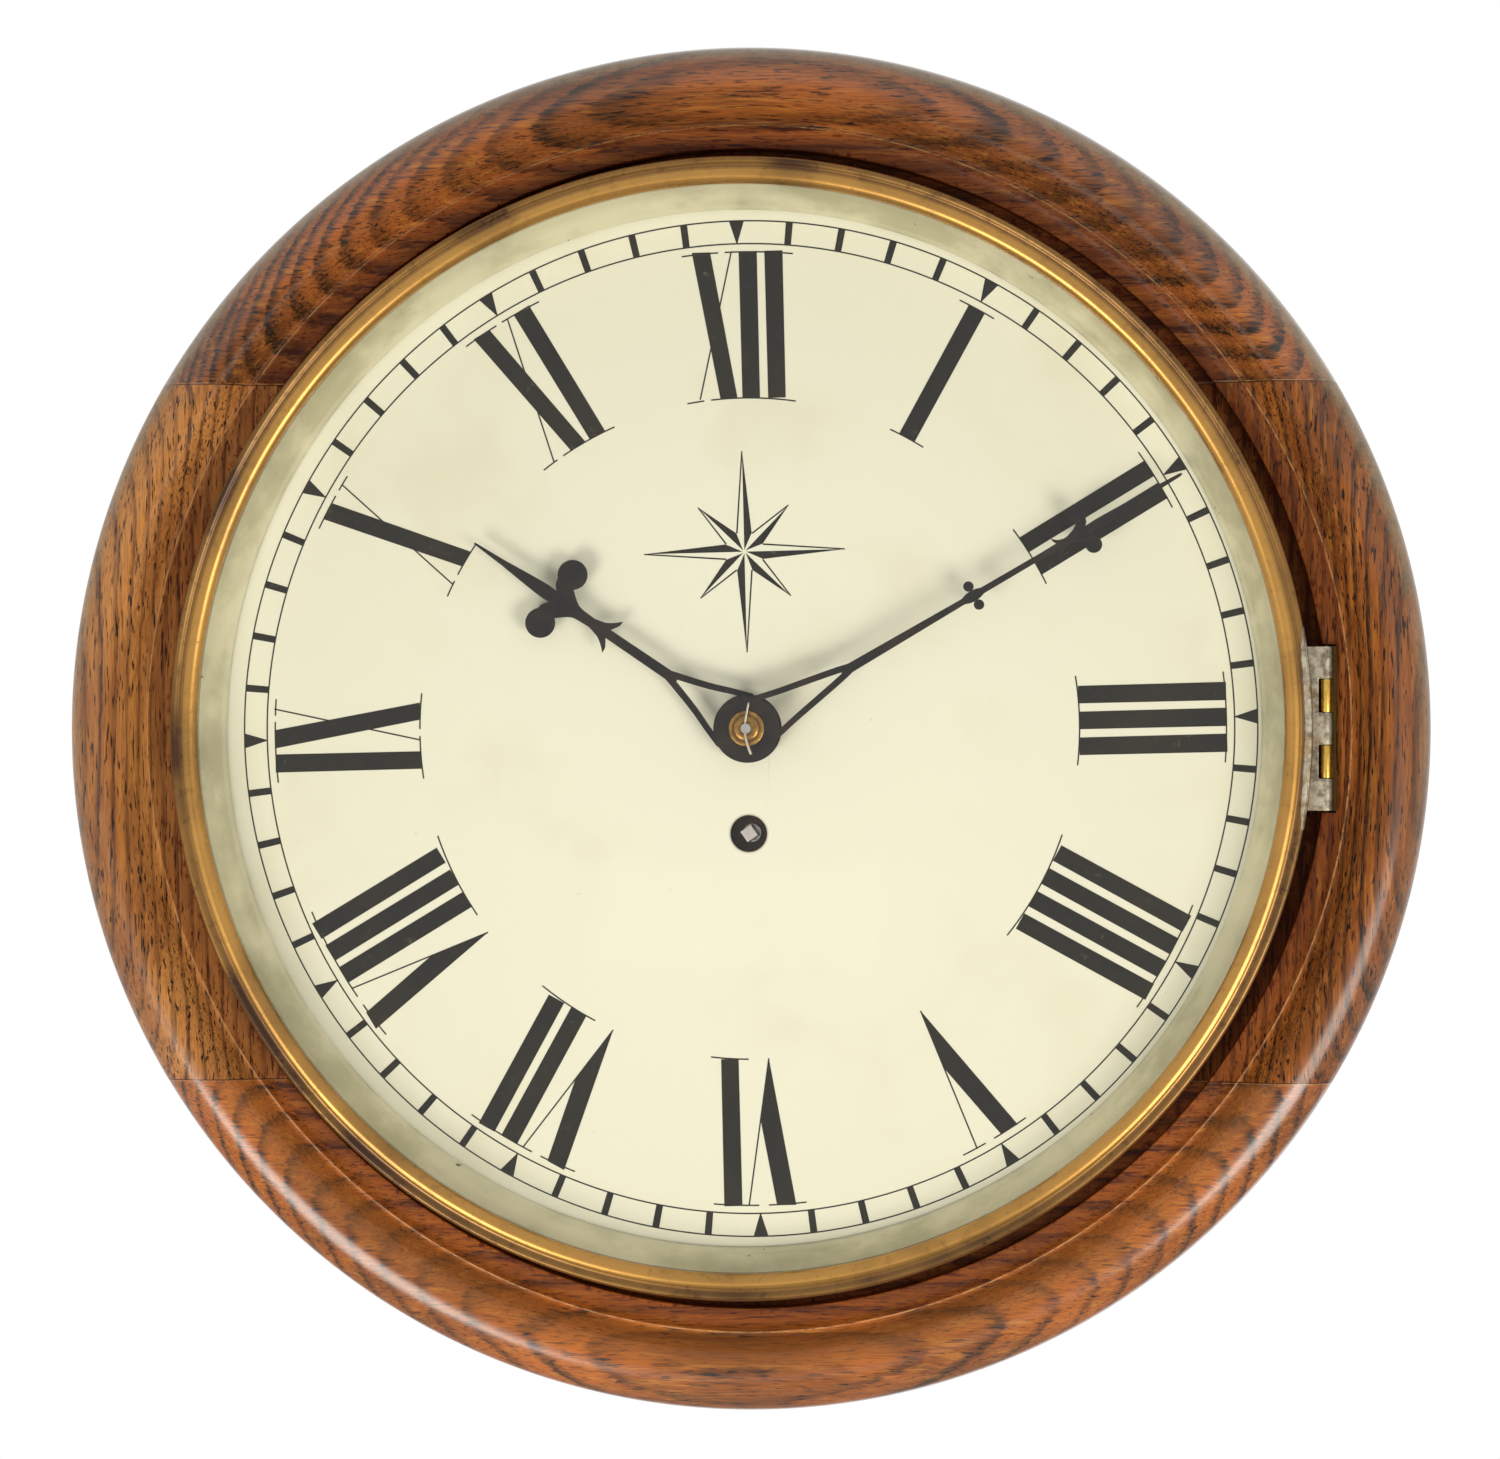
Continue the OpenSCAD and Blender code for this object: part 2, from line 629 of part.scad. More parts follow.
sight_profile = [
  [sight_r, sight_back], [bezel_in_r - 0.8, glass_back - 1.4], [bezel_in_r - 0.2, glass_back],
  [bezel_r - skirt_t - 0.1, glass_back], [bezel_r - skirt_t - 0.1, glass_back - sight_sheet],
  [bezel_in_r + 0.5, glass_back - sight_sheet], [sight_r + 1.2, sight_back]
];
module sight_ring() color("silver") face() bezel_place() rotate_extrude() polygon(sight_profile);

// Bezel hinge: five knuckles, three on the bezel and two on the wood
hinge_screw_z = [-16, 0, 16];
module knuckle(k) translate([hinge_x, -hinge_half + k * knuckle_l + knuckle_gap, hinge_depth])
  rotate([-90, 0, 0]) difference() {
    cylinder(r = barrel_r, h = knuckle_l - 2 * knuckle_gap);
    translate([0, 0, -1]) cylinder(r = hinge_pin_r + running, h = knuckle_l + 2);
  }
function knuckle_span(k, slack) =
  [k * knuckle_l - hinge_half - slack, (k + 1) * knuckle_l - hinge_half + slack];
module pin_bore() translate([hinge_x, -hinge_half - 1, hinge_depth]) rotate([-90, 0, 0])
  cylinder(r = hinge_pin_r + running, h = 2 * hinge_half + 2);
leaf_depth = [hinge_depth + barrel_r - 0.2 - leaf_t, hinge_depth + barrel_r - 0.2];
module bezel_hinge_leaf() color("gray") face() difference() {
  union() {
    slab([hinge_x - 9, hinge_x], [-hinge_half + knuckle_gap, hinge_half - knuckle_gap], leaf_depth);
    for (k = [0, 2, 4]) knuckle(k);
  }
  bezel_place() rod([0, 0], leaf_depth[0] - 5, leaf_depth[1] + 5, bezel_r + press);
  for (k = [1, 3]) slab([hinge_x - barrel_r - 0.4, hinge_x + barrel_r + 1],
    knuckle_span(k, knuckle_gap), [leaf_depth[0] - 5, leaf_depth[1] + 5]);
  pin_bore();
}
module case_hinge_leaf() color(brass) face() difference() {
  union() {
    slab([case_leaf_x, case_leaf_x + leaf_t], [-hinge_half, hinge_half],
      [notch_floor + press, hinge_depth - 0.2]);
    for (k = [1, 3]) {
      knuckle(k);
      slab([hinge_x, case_leaf_x + 0.5], knuckle_span(k, -knuckle_gap),
        [hinge_depth - 1.6, hinge_depth - 0.4]);
    }
  }
  pin_bore();
  for (z = hinge_screw_z) hinge_screw_place(z) flat_hole(1.2, 2.2, 9);
}
module hinge_screw_place(z) at([case_leaf_x + 0.1, z], (notch_floor + hinge_depth - barrel_r) / 2)
  rotate([0, -90, 0]) children();
module hinge_screws() color(steel) face() for (z = hinge_screw_z) hinge_screw_place(z)
  flat_screw(1.2, 2.2, 8.5);
module hinge_pin() color(steel) face() translate([hinge_x, -hinge_half, hinge_depth])
  rotate([-90, 0, 0]) cylinder(r = hinge_pin_r, h = 2 * hinge_half);

// Sprung tongue soldered behind the bezel's left edge, which grips a slot in the wood
tongue_w = 10;
tongue_l = 12;
module bezel_tongue() color(brass) face() slab(
  [-bezel_r - bezel_shift + 0.2, -bezel_r - bezel_shift + skirt_t - 0.4],
  [-tongue_w / 2, tongue_w / 2], [skirt_back - tongue_l, skirt_back]
);

// Hands, drawn along +x from the hub
module hand(angle, depth, boss_r, bore_r) at([0, 0], depth) rotate([0, 0, angle]) difference() {
  union() {
    cylinder(r = boss_r, h = hand_t);
    linear_extrude(hand_t) children();
  }
  translate([0, 0, -1]) cylinder(r = bore_r, h = hand_t + 2);
}
// Both halves of an outline that starts and ends on the hand's own line
function mirrored(points) = concat(points, [for (i = [len(points) - 1:-1:0]) [points[i].x, -points[i].y]]);
module both_sides() {
  children();
  mirror([0, 1]) children();
}
module fork_arm(boss_r, join) polygon([
  [1.2, boss_r - 0.1], [join * 0.5, boss_r * 0.56], [join * 0.8, 3], [join + 4, 2.2],
  [join + 4, -0.6], [join, 0.3], [join * 0.8, 1.4], [join * 0.5, boss_r * 0.56 - 1.9],
  [boss_r * 0.45, boss_r * 0.7]
]);
module hour_hand() color("black") face()
  hand(hour_angle, hour_hand_depth, hour_boss_r, hour_pipe_r + press) {
  l = hour_hand_l;
  polygon(mirrored([[28.5, 0.8], [31, 2.4], [40, 2], [56, 1.3], [62, 1.9], [67, 3.4], [70, 5.4],
    [72, 7.6], [78.6, 8], [78.8, 4.6], [78, 1.7], [83, 2.6], [92, 1.95], [101, 1.05], [l, 0.15]]));
  both_sides() {
    fork_arm(hour_boss_r, 28.5);
    polygon([
      [61.5, 0.6], [61.5, 1.9], [58.5, 2.9], [56, 4.6], [53.6, 6.4], [54.6, 4.2], [55.8, 2.4], [56.6, 0.6]
    ]);
    translate([76, 9.3]) circle(r = 4.8);
  }
}
module minute_hand() color("black") face()
  hand(minute_angle, minute_hand_depth, minute_boss_r, pipe_r + press) {
  l = minute_hand_l;
  polygon(mirrored([[36, 0.6], [39, 2.1], [46, 1.8], [84, 1.2], [l - 78.7, 2.3], [l - 77.5, 1.05],
    [l - 48, 0.85], [l - 44, 1.2], [l - 41, 2.2], [l - 39, 3.8], [l - 35.5, 4.6], [l - 35, 2.6],
    [l - 35.5, 1.1], [l - 29, 1.2], [l - 15, 0.8], [l, 0.15]]));
  both_sides() {
    fork_arm(minute_boss_r, 36);
    translate([l - 78.7, 3.4]) circle(r = 1.7);
    polygon([
      [l - 43.5, 0.5], [l - 43.5, 1.2], [l - 46.5, 2.1], [l - 49, 3.7], [l - 48, 2.2], [l - 47.3, 0.5]
    ]);
    translate([l - 36.8, 5.5]) circle(r = 2.8);
  }
}
module hand_collet() color(brass) face() rotate_extrude() polygon(concat(
  [[hand_arbor_r + running, collet_depth], [6.1, collet_depth], [6.1, collet_depth + 0.5]],
  arc([hand_arbor_r + running, collet_depth + 0.5], 6.05 - hand_arbor_r - running, 1.2, 10, 90, 6)
));
hand_pin_l = 17;
module hand_pin_place() at([0, 0], hand_pin_depth) rotate([0, 0, 7.8]) rotate([-90, 0, 0])
  translate([0, 0, -hand_pin_l / 2]) children();
module hand_pin() color("lightgray") face() hand_pin_place() cylinder(r1 = 0.4, r2 = 0.5, h = hand_pin_l);

// Motion work
bow_t = 0.5;
module cannon_wheel() color(brass) face() {
  difference() {
    union() {
      translate([0, 0, cannon_depth]) rotate([0, 0, 90]) linear_extrude(wheel_t)
        polygon(wheel_points(cannon_module, cannon_teeth));
      rod([0, 0], cannon_depth - 0.5, minute_hand_depth + hand_t, pipe_r);
    }
    rod([0, 0], cannon_depth - 2, arbor_end, hand_arbor_r + running);
  }
  rotate_extrude() polygon([
    [hand_arbor_r + running, front_face + 0.45], [8, cannon_depth - 0.1 - bow_t],
    [8, cannon_depth - 0.1], [hand_arbor_r + running, front_face + 0.45 + bow_t]
  ]);
}
module minute_wheel() color(brass) face() at(motion_at, 0) difference() {
  union() {
    translate([0, 0, cannon_depth])
      train_wheel(cannon_module, minute_teeth, wheel_t, 270 + 180 / minute_teeth, 5.5);
    rod([0, 0], cannon_depth + wheel_t - 0.5, bridge_depth + 1.6, 3.6);
    pinion(hour_module, minute_pinion, 270 + 180 / minute_pinion, bridge_depth + 1.6, hour_wheel_depth + 3);
  }
  rod([0, 0], front_face, hour_wheel_depth + 5, stud_r + running);
}
stud_r = 1.5;
module minute_wheel_stud() color(steel) face() at(motion_at, 0) {
  rod([0, 0], front_back, hour_wheel_depth + 5.3, stud_r);
  rod([0, 0], front_face, cannon_depth - 0.1, 3);
  rod([0, 0], hour_wheel_depth + 3 + neck + 0.2, hour_wheel_depth + 4.8, 2.6);
}
module hour_wheel() color(brass) face() difference() {
  union() {
    translate([0, 0, hour_wheel_depth]) train_wheel(hour_module, hour_teeth, wheel_t, 90, 10);
    rod([0, 0], hour_wheel_depth - 0.4, hour_hand_depth + hand_t + 0.2, hour_pipe_r);
  }
  rod([0, 0], hour_wheel_depth - 2, hour_hand_depth + 5, bridge_pipe_r + running);
}
bridge_t = 1.4;
module hour_bridge() color(brass) face() difference() {
  union() {
    slab([-bridge_foot_x - 4, bridge_foot_x + 4], [-5, 5], [bridge_depth, bridge_depth + bridge_t]);
    rod([0, 0], bridge_depth, hour_hand_depth - 2, bridge_pipe_r);
    for (s = [-1, 1]) rod([s * bridge_foot_x, 0], front_face, bridge_depth + 0.5, 3.6);
  }
  rod([0, 0], bridge_depth - 1, hour_hand_depth, pipe_r + running);
  for (s = [-1, 1]) rod([s * bridge_foot_x, 0], front_face - 1, bridge_depth + 3, screw_r + press);
}

// Machine screws of the bridge and the cock
screw_r = 1.4;
screw_l = 9.8;
cock_screw_x = 24;
cock_screw_l = 15.4;
module machine_screw(l = screw_l) difference() {
  union() {
    translate([0, 0, -l]) cylinder(r = screw_r, h = l + 0.5);
    cylinder(r = 2.7, h = 1.6);
  }
  translate([-4, -0.3, 1]) cube([8, 0.6, 1]);
}
module movement_screws() color(steel) face() for (s = [-1, 1]) {
  at([s * bridge_foot_x, 0], bridge_depth + bridge_t + press) machine_screw();
  at([s * cock_screw_x, pallet_at.y], cock_back - press) rotate([180, 0, 0]) machine_screw(cock_screw_l);
}

// Movement plates
module movement_plate(from, to) difference() {
  slab(plate_x, plate_z, [from, to]);
  for (p = pillar_at) rod(p, from - 1, to + 1, spigot_r + press);
  rod(third_at, from - 1, to + 1, pivot_r + running);
  rod(escape_at, from - 1, to + 1, pivot_r + running);
  rod(drum_at, from - 1, to + 1, drum_pivot_r + press);
}
pivot_r = 0.8;
centre_pivot_r = 1.2;
centre_arbor_r = 2;
module front_plate() color(brass) face() difference() {
  movement_plate(front_back, front_face);
  rod([0, 0], front_back - 1, front_face + 1, centre_arbor_r + running);
  rod(fusee_at, front_back - 1, front_face + 1, fusee_arbor_r + running);
  rod(pallet_at, front_back - 1, front_face + 1, pivot_r + running);
  rod(motion_at, front_back - 1, front_face + 1, stud_r + press);
  for (p = foot_at) rod(p, front_back - 1, front_face + 1, spigot_r + press);
  for (s = [-1, 1]) rod([s * bridge_foot_x, 0], front_back - 1, front_face + 1, screw_r + press);
  rod(click_at, front_back - 1, front_face + 1, screw_r + press);
}
module back_plate() color(brass) face() difference() {
  movement_plate(back_face, back_front);
  rod([0, 0], back_face - 1, back_front + 1, centre_pivot_r + running);
  rod(fusee_at, back_face - 1, back_front + 1, fusee_pivot_r + running);
  rod(pallet_at, back_face - 1, back_front + 1, 4);
  for (s = [-1, 1]) rod([s * cock_screw_x, pallet_at.y], back_face - 1, back_front + 1, screw_r + press);
}
fusee_pivot_r = 1.5;

// Train wheels on their arbors
train_t = 1.6;
great_depth = back_front + 3;
centre_wheel_depth = front_back - 6.2;
third_wheel_depth = back_front + 10;
escape_depth = back_front + 26;
third_angle = atan2(third_at.y, third_at.x);
escape_angle = atan2(escape_at.y - third_at.y, escape_at.x - third_at.x);
arbor_r = 1.5;
shake = 0.15;

module centre_wheel() color(brass) face() difference() {
  union() {
    rod([0, 0], back_face, back_front + 1, centre_pivot_r);
    rod([0, 0], back_front + shake, great_depth - 1 - neck / 2, centre_arbor_r);
    pinion(great_module, centre_pinion, 270 + 180 / centre_pinion, great_depth - 1, great_depth + 5);
    rod([0, 0], great_depth + 5 + neck / 2, front_face + 0.4, centre_arbor_r);
    rod([0, 0], front_face, arbor_end, hand_arbor_r);
    translate([0, 0, centre_wheel_depth]) train_wheel(centre_module, centre_teeth, train_t, third_angle, 6);
  }
  hand_pin_place() cylinder(r = 0.55, h = hand_pin_l);
}
module third_wheel() color(brass) face() at(third_at, 0) {
  rod([0, 0], back_face + 0.4, back_front + 1, pivot_r);
  rod([0, 0], back_front + shake, centre_wheel_depth - 3 - neck / 2, arbor_r);
  pinion(centre_module, third_pinion, third_angle + 180 + 180 / third_pinion,
    centre_wheel_depth - 3, front_back - 1);
  rod([0, 0], front_back - 1 + neck / 2, front_back - shake, arbor_r);
  rod([0, 0], front_back - 1, front_face - 0.4, pivot_r);
  translate([0, 0, third_wheel_depth]) train_wheel(third_module, third_teeth, train_t, escape_angle, 5);
}
nib_angle = 44.9;
escape_phase = -6.4;
tooth_l = 3.2;
function escape_points() =
  [for (i = [0:escape_teeth - 1]) let (a = 360 * i / escape_teeth + escape_phase) each [
    polar(escape_r - tooth_l, a - 1.8), polar(escape_r, a - 0.3),
    polar(escape_r, a + 0.5), polar(escape_r - tooth_l, a + 5)
  ]];
module escape_wheel() color(brass) face() at(escape_at, 0) {
  rod([0, 0], back_face + 0.4, back_front + 1, pivot_r);
  rod([0, 0], back_front + shake, third_wheel_depth - 2 - neck / 2, arbor_r);
  pinion(third_module, escape_pinion, escape_angle + 180 + 180 / escape_pinion,
    third_wheel_depth - 2, third_wheel_depth + 4);
  rod([0, 0], third_wheel_depth + 4 + neck / 2, front_back - shake, arbor_r);
  rod([0, 0], front_back - 1, front_face - 0.4, pivot_r);
  translate([0, 0, escape_depth]) difference() {
    linear_extrude(train_t) polygon(escape_points());
    for (k = [0:3]) rotate([0, 0, 90 * k]) translate([0, 0, -1]) linear_extrude(train_t + 2) polygon(concat(
      arc([0, 0], escape_r - 5, escape_r - 5, -34, 34, 6), arc([0, 0], 4, 4, 18, -18, 3)));
  }
}

// Pallets: an anchor whose nibs clear the wheel at mid-swing and fall between its teeth at each end
nib_w = 0.8;
nib_reach = 0.2;
crutch_depth = back_face - 7;
fork_z = -48;
module anchor_arm(s) {
  tip = polar(escape_r + nib_reach, 90 - s * nib_angle) + escape_at - pallet_at;
  root = polar(escape_r + 4, 90 - s * nib_angle) + escape_at - pallet_at;
  polygon(bar([0, 0], root, 5, 3));
  polygon(bar(root, tip, nib_w + 1.2, nib_w));
}
module pallets() color(steel) face() at(pallet_at, 0) {
  rod([0, 0], cock_back + 0.3, cock_front + 0.5, pivot_r);
  rod([0, 0], cock_front + shake, front_back - shake, arbor_r);
  rod([0, 0], front_back - 1, front_face - 0.4, pivot_r);
  translate([0, 0, escape_depth - 0.5]) linear_extrude(train_t + 1) union() {
    for (s = [-1, 1]) anchor_arm(s);
    circle(r = 4);
  }
  plate(bar([0, 0], [0, fork_z], 5, 3.6), crutch_depth, crutch_depth + 1.6);
  difference() {
    slab([-4, 4], [fork_z - 4, fork_z + 1], [swing_depth - 4, crutch_depth + 1.6]);
    slab([-rod_r - 0.15, rod_r + 0.15], [fork_z - 5, fork_z + 2], [swing_depth - 5, swing_depth + 4]);
  }
}

// Back cock, with the lug that the pendulum hangs from
cock_front = back_face - 10.7;
cock_back = cock_front - 2.5;
slit_half = 0.45;
module back_cock() color(brass) face() at(pallet_at, 0) difference() {
  union() {
    slab([-28, 28], [-6, 6], [cock_back, cock_front]);
    for (s = [-1, 1]) slab(s < 0 ? [-28, -20] : [20, 28], [-5, 5], [cock_front - 0.5, back_face]);
    slab([-4, 4], [1, 14], [swing_depth - 4, cock_front - 0.5]);
  }
  slab([-slit_half, slit_half], [0, 6.5], [swing_depth - 5, swing_depth + strip_w / 2 + 0.3]);
  rod([0, 0], cock_back - 1, cock_front + 1, pivot_r + running);
  for (s = [-1, 1]) rod([s * cock_screw_x, 0], cock_back - 1, back_face + 1, screw_r + press);
}

// Pendulum
module suspension_spring() color(steel) face() at(pallet_at, 0)
  slab([-strip_t / 2, strip_t / 2], [-12, 4], [swing_depth - strip_w / 2, swing_depth + strip_w / 2]);
rod_top = 19;
rod_tail = 11;
module pendulum_rod() color(steel) face() at(pallet_at, 0) difference() {
  union() {
    slab([-2.5, 2.5], [-20, -10], [swing_depth - 4, swing_depth + 4]);
    at([0, -rod_top], swing_depth) rotate([90, 0, 0])
      cylinder(r = rod_r, h = pendulum_l + bob_r + nut_h + rod_tail - rod_top);
  }
  slab([-strip_t / 2, strip_t / 2], [-12, -9], [swing_depth - strip_w / 2, swing_depth + strip_w / 2]);
}
module pendulum_bob() color(brass) face() at([0, bob_z], 0) difference() {
  rotate_extrude() polygon(concat(
    [[0, swing_depth - bob_t / 2], [bob_r - 6, swing_depth - bob_t / 2 + 2], [bob_r, swing_depth - 1.5]],
    [[bob_r, swing_depth + 1.5], [bob_r - 6, swing_depth + bob_t / 2 - 2], [0, swing_depth + bob_t / 2]]
  ));
  at([0, -bob_r - 1], swing_depth) rotate([-90, 0, 0]) cylinder(r = rod_r + running, h = 2 * bob_r + 2);
}
module rating_nut() color(brass) face()
  at([0, bob_z - bob_r - 0.2], swing_depth) rotate([90, 0, 0]) difference() {
    cylinder(r = nut_r, h = nut_h);
    translate([0, 0, -1]) cylinder(r = rod_r + running, h = nut_h + 2);
    for (k = [0:15]) rotate([0, 0, 22.5 * k]) translate([nut_r - 0.4, -0.4, -1])
      cube([1, 0.8, nut_h + 2]);
  }

// Fusee and great wheel
module great_wheel() color(brass) face() at(fusee_at, 0) difference() {
  translate([0, 0, great_depth]) train_wheel(great_module, great_teeth, 2.5, 90, 9);
  rod([0, 0], great_depth - 1, great_depth + 4, fusee_arbor_r + running);
}
function fusee_r(t) = 1 / (1 / fusee_big_r + (1 / fusee_small_r - 1 / fusee_big_r) * t);
function fusee_points() = let (d = fusee_depth[1] - fusee_depth[0])
  [for (i = [0:fusee_turns - 1], s = [0, 0.5])
    let (t = (i + s) / fusee_turns) [fusee_r(t) - (s > 0 ? 2 * line_r : 0), fusee_depth[0] + t * d]];
fusee_core_r = fusee_arbor_r - 0.5;
fusee_foot = [
  [fusee_core_r, fusee_depth[0] - 1.5], [fusee_big_r + 1, fusee_depth[0] - 1.5],
  [fusee_big_r + 1, fusee_depth[0] - 0.3]
];
fusee_head = [
  [fusee_small_r + 1, fusee_depth[1]], [fusee_small_r + 1, fusee_depth[1] + 1.4],
  [fusee_core_r, fusee_depth[1] + 1.4]
];
module fusee() color(brass) face() at(fusee_at, 0) {
  rod([0, 0], back_face, back_front + 1, fusee_pivot_r);
  rod([0, 0], back_front + shake, front_face + 6, fusee_arbor_r);
  rotate_extrude() polygon(concat(fusee_foot, fusee_points(), fusee_head));
  intersection() {
    rod([0, 0], front_face + 5, seat - 0.2, fusee_arbor_r - 0.1);
    rotate([0, 0, 35]) slab([-wind_square / 2, wind_square / 2], [-wind_square / 2, wind_square / 2],
      [front_face + 5, seat]);
  }
}

// Gut line: the turns wound on the barrel, and the straight run to the fusee
coil_r = drum_r + 0.3 + line_r;
run_from_r = coil_r;
run_to_r = fusee_big_r + 1.2;
run_reach = norm(fusee_at - drum_at);
run_bearing = atan2(fusee_at.y - drum_at.y, fusee_at.x - drum_at.x);
run_normal = run_bearing + acos((run_from_r - run_to_r) / run_reach);
line_depth = fusee_depth[0] + 0.4;
module fusee_line() color("burlywood") face() {
  at(drum_at, 0) ring(coil_r + line_r, coil_r - line_r, line_depth - line_r, line_depth + 12);
  p = drum_at + polar(run_from_r - 0.1, run_normal);
  q = fusee_at + polar(run_to_r, run_normal);
  at(p, line_depth) rotate([0, 0, atan2(q.y - p.y, q.x - p.x)]) rotate([0, 90, 0])
    cylinder(r = line_r - 0.05, h = norm(q - p));
}

// Spring barrel with its mainspring and fixed arbor
module spring_barrel() color(brass) face() at(drum_at, 0) difference() {
  rod([0, 0], drum_depth[0], drum_depth[1], drum_r);
  rod([0, 0], drum_depth[0] + drum_wall, drum_depth[1] - drum_wall, drum_r - drum_wall);
  rod([0, 0], drum_depth[0] - 1, drum_depth[1] + 1, drum_arbor_r + running);
}
spring_t = 0.8;
spring_turns = 6;
spring_steps = 96;
spring_in_r = drum_arbor_r + 0.6;
spring_pitch = (drum_r - drum_wall - spring_t - 0.4 - spring_in_r) / spring_turns;
function coil(r) = [for (i = [0:spring_steps]) polar(r + spring_pitch * spring_turns * i / spring_steps,
  360 * spring_turns * i / spring_steps)];
function reversed(p) = [for (i = [len(p) - 1:-1:0]) p[i]];
module mainspring() color("dimgray") face() at(drum_at, 0)
  plate(concat(coil(spring_in_r), reversed(coil(spring_in_r + spring_t))),
    drum_depth[0] + drum_wall + 0.4, drum_depth[1] - drum_wall - 0.4);
ratchet_r = 9;
ratchet_teeth = 16;
function ratchet_points() = [for (i = [0:ratchet_teeth - 1]) let (a = 360 * i / ratchet_teeth)
  each [polar(ratchet_r, a), polar(ratchet_r - 1.6, a + 2)]];
module barrel_arbor() color(steel) face() at(drum_at, 0) {
  rod([0, 0], back_face, back_front + 1, drum_pivot_r);
  rod([0, 0], back_front + shake, front_back - shake, drum_arbor_r);
  rod([0, 0], front_back - 1, front_face + 5, drum_pivot_r);
  plate(ratchet_points(), front_face + 0.4, front_face + 2.4);
}
click_at = drum_at + [4, 15];
module barrel_click() color(steel) face() {
  nose = drum_at + polar(ratchet_r - 1.3, 112.5 + 6);
  difference() {
    plate(bar(click_at, nose, 6, 1.2), front_face + 0.4, front_face + 2.4);
    at(drum_at, 0) plate([for (p = ratchet_points()) p * 1.02], front_face, front_face + 3);
    rod(click_at, front_face - 1, front_face + 4, screw_r + press);
  }
  difference() {
    rod(click_at, front_face + 0.4, front_face + 2.4, 3.6);
    rod(click_at, front_face - 1, front_face + 4, screw_r + press);
    at(drum_at, 0) plate([for (p = ratchet_points()) p * 1.02], front_face, front_face + 3);
  }
  rod(click_at, front_back, front_face + 2.6, screw_r);
  rod(click_at, front_face + 2.4 + press, front_face + 4, 2.7);
}

surround_top();
surround_bottom();
surround_left();
surround_right();
surround_blocks();
surround_pegs();
box_back();
box_top();
box_bottom();
box_side_left();
box_side_right();
hanging_plate();
hanging_screws();
door_pins();
bottom_door();
bottom_door_button();
side_door();
side_door_button();
round_head_screws();
dial_plate();
dial_markings();
dial_feet();
taper_pins();
bezel_ring();
glass();
sight_ring();
bezel_hinge_leaf();
case_hinge_leaf();
hinge_pin();
hinge_screws();
bezel_tongue();
minute_hand();
hour_hand();
hand_collet();
hand_pin();
cannon_wheel();
minute_wheel();
minute_wheel_stud();
hour_wheel();
hour_bridge();
movement_screws();
front_plate();
back_plate();
plate_pillars();
centre_wheel();
third_wheel();
escape_wheel();
pallets();
back_cock();
suspension_spring();
pendulum_rod();
pendulum_bob();
rating_nut();
great_wheel();
fusee();
fusee_line();
spring_barrel();
mainspring();
barrel_arbor();
barrel_click();
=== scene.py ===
import json
import math

import bmesh
import bpy
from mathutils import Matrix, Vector, geometry, noise


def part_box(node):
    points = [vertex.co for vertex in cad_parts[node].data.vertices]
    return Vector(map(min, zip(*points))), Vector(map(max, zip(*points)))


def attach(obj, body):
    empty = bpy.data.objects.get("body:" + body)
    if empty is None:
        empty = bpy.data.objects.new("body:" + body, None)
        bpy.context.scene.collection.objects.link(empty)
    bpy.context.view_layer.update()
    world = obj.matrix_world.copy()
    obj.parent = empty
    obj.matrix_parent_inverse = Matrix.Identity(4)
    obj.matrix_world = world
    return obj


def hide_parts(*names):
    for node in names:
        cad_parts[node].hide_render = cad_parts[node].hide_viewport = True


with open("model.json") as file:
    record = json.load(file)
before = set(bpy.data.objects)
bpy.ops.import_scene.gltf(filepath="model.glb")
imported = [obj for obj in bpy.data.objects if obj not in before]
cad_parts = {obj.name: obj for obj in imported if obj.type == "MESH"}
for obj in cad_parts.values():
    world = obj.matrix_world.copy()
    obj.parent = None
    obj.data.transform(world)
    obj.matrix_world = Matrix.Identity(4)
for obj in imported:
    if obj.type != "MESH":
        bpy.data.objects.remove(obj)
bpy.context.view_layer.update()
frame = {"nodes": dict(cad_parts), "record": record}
nodes = frame["nodes"]
record = frame["record"]
slot_of = {part["node"]: part["material_slot"] for part in record["subparts"]}
body_of = {n: body for body, members in record["behaviour"]["bodies"].items() for n in members}

MM = 0.001


def depths(node):
    low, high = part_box(node)
    return -high.y / MM, -low.y / MM


def span_x(node):
    low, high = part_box(node)
    return low.x / MM, high.x / MM


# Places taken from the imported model
SEAT, DIAL_FACE = depths("dial_plate")
BOX_DEPTH = depths("surround_top")[0]
CASE_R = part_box("surround_top")[1].z / MM
UPPER_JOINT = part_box("surround_top")[0].z / MM
LOWER_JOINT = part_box("surround_bottom")[1].z / MM
BOARD_EDGE = span_x("surround_right")[0]
BEZEL_X = sum(span_x("bezel_ring")) / 2
BEZEL_R = span_x("bezel_ring")[1] - BEZEL_X
BEZEL_BACK, BEZEL_FRONT = depths("bezel_ring")
GLASS_BACK, GLASS_FRONT = depths("glass")
HINGE_X = sum(span_x("hinge_pin")) / 2
HINGE_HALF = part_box("hinge_pin")[1].z / MM
HOUR_BACK, HOUR_FRONT = depths("hour_hand")
MINUTE_BACK, MINUTE_FRONT = depths("minute_hand")
COLLET_BACK, COLLET_FRONT = depths("hand_collet")

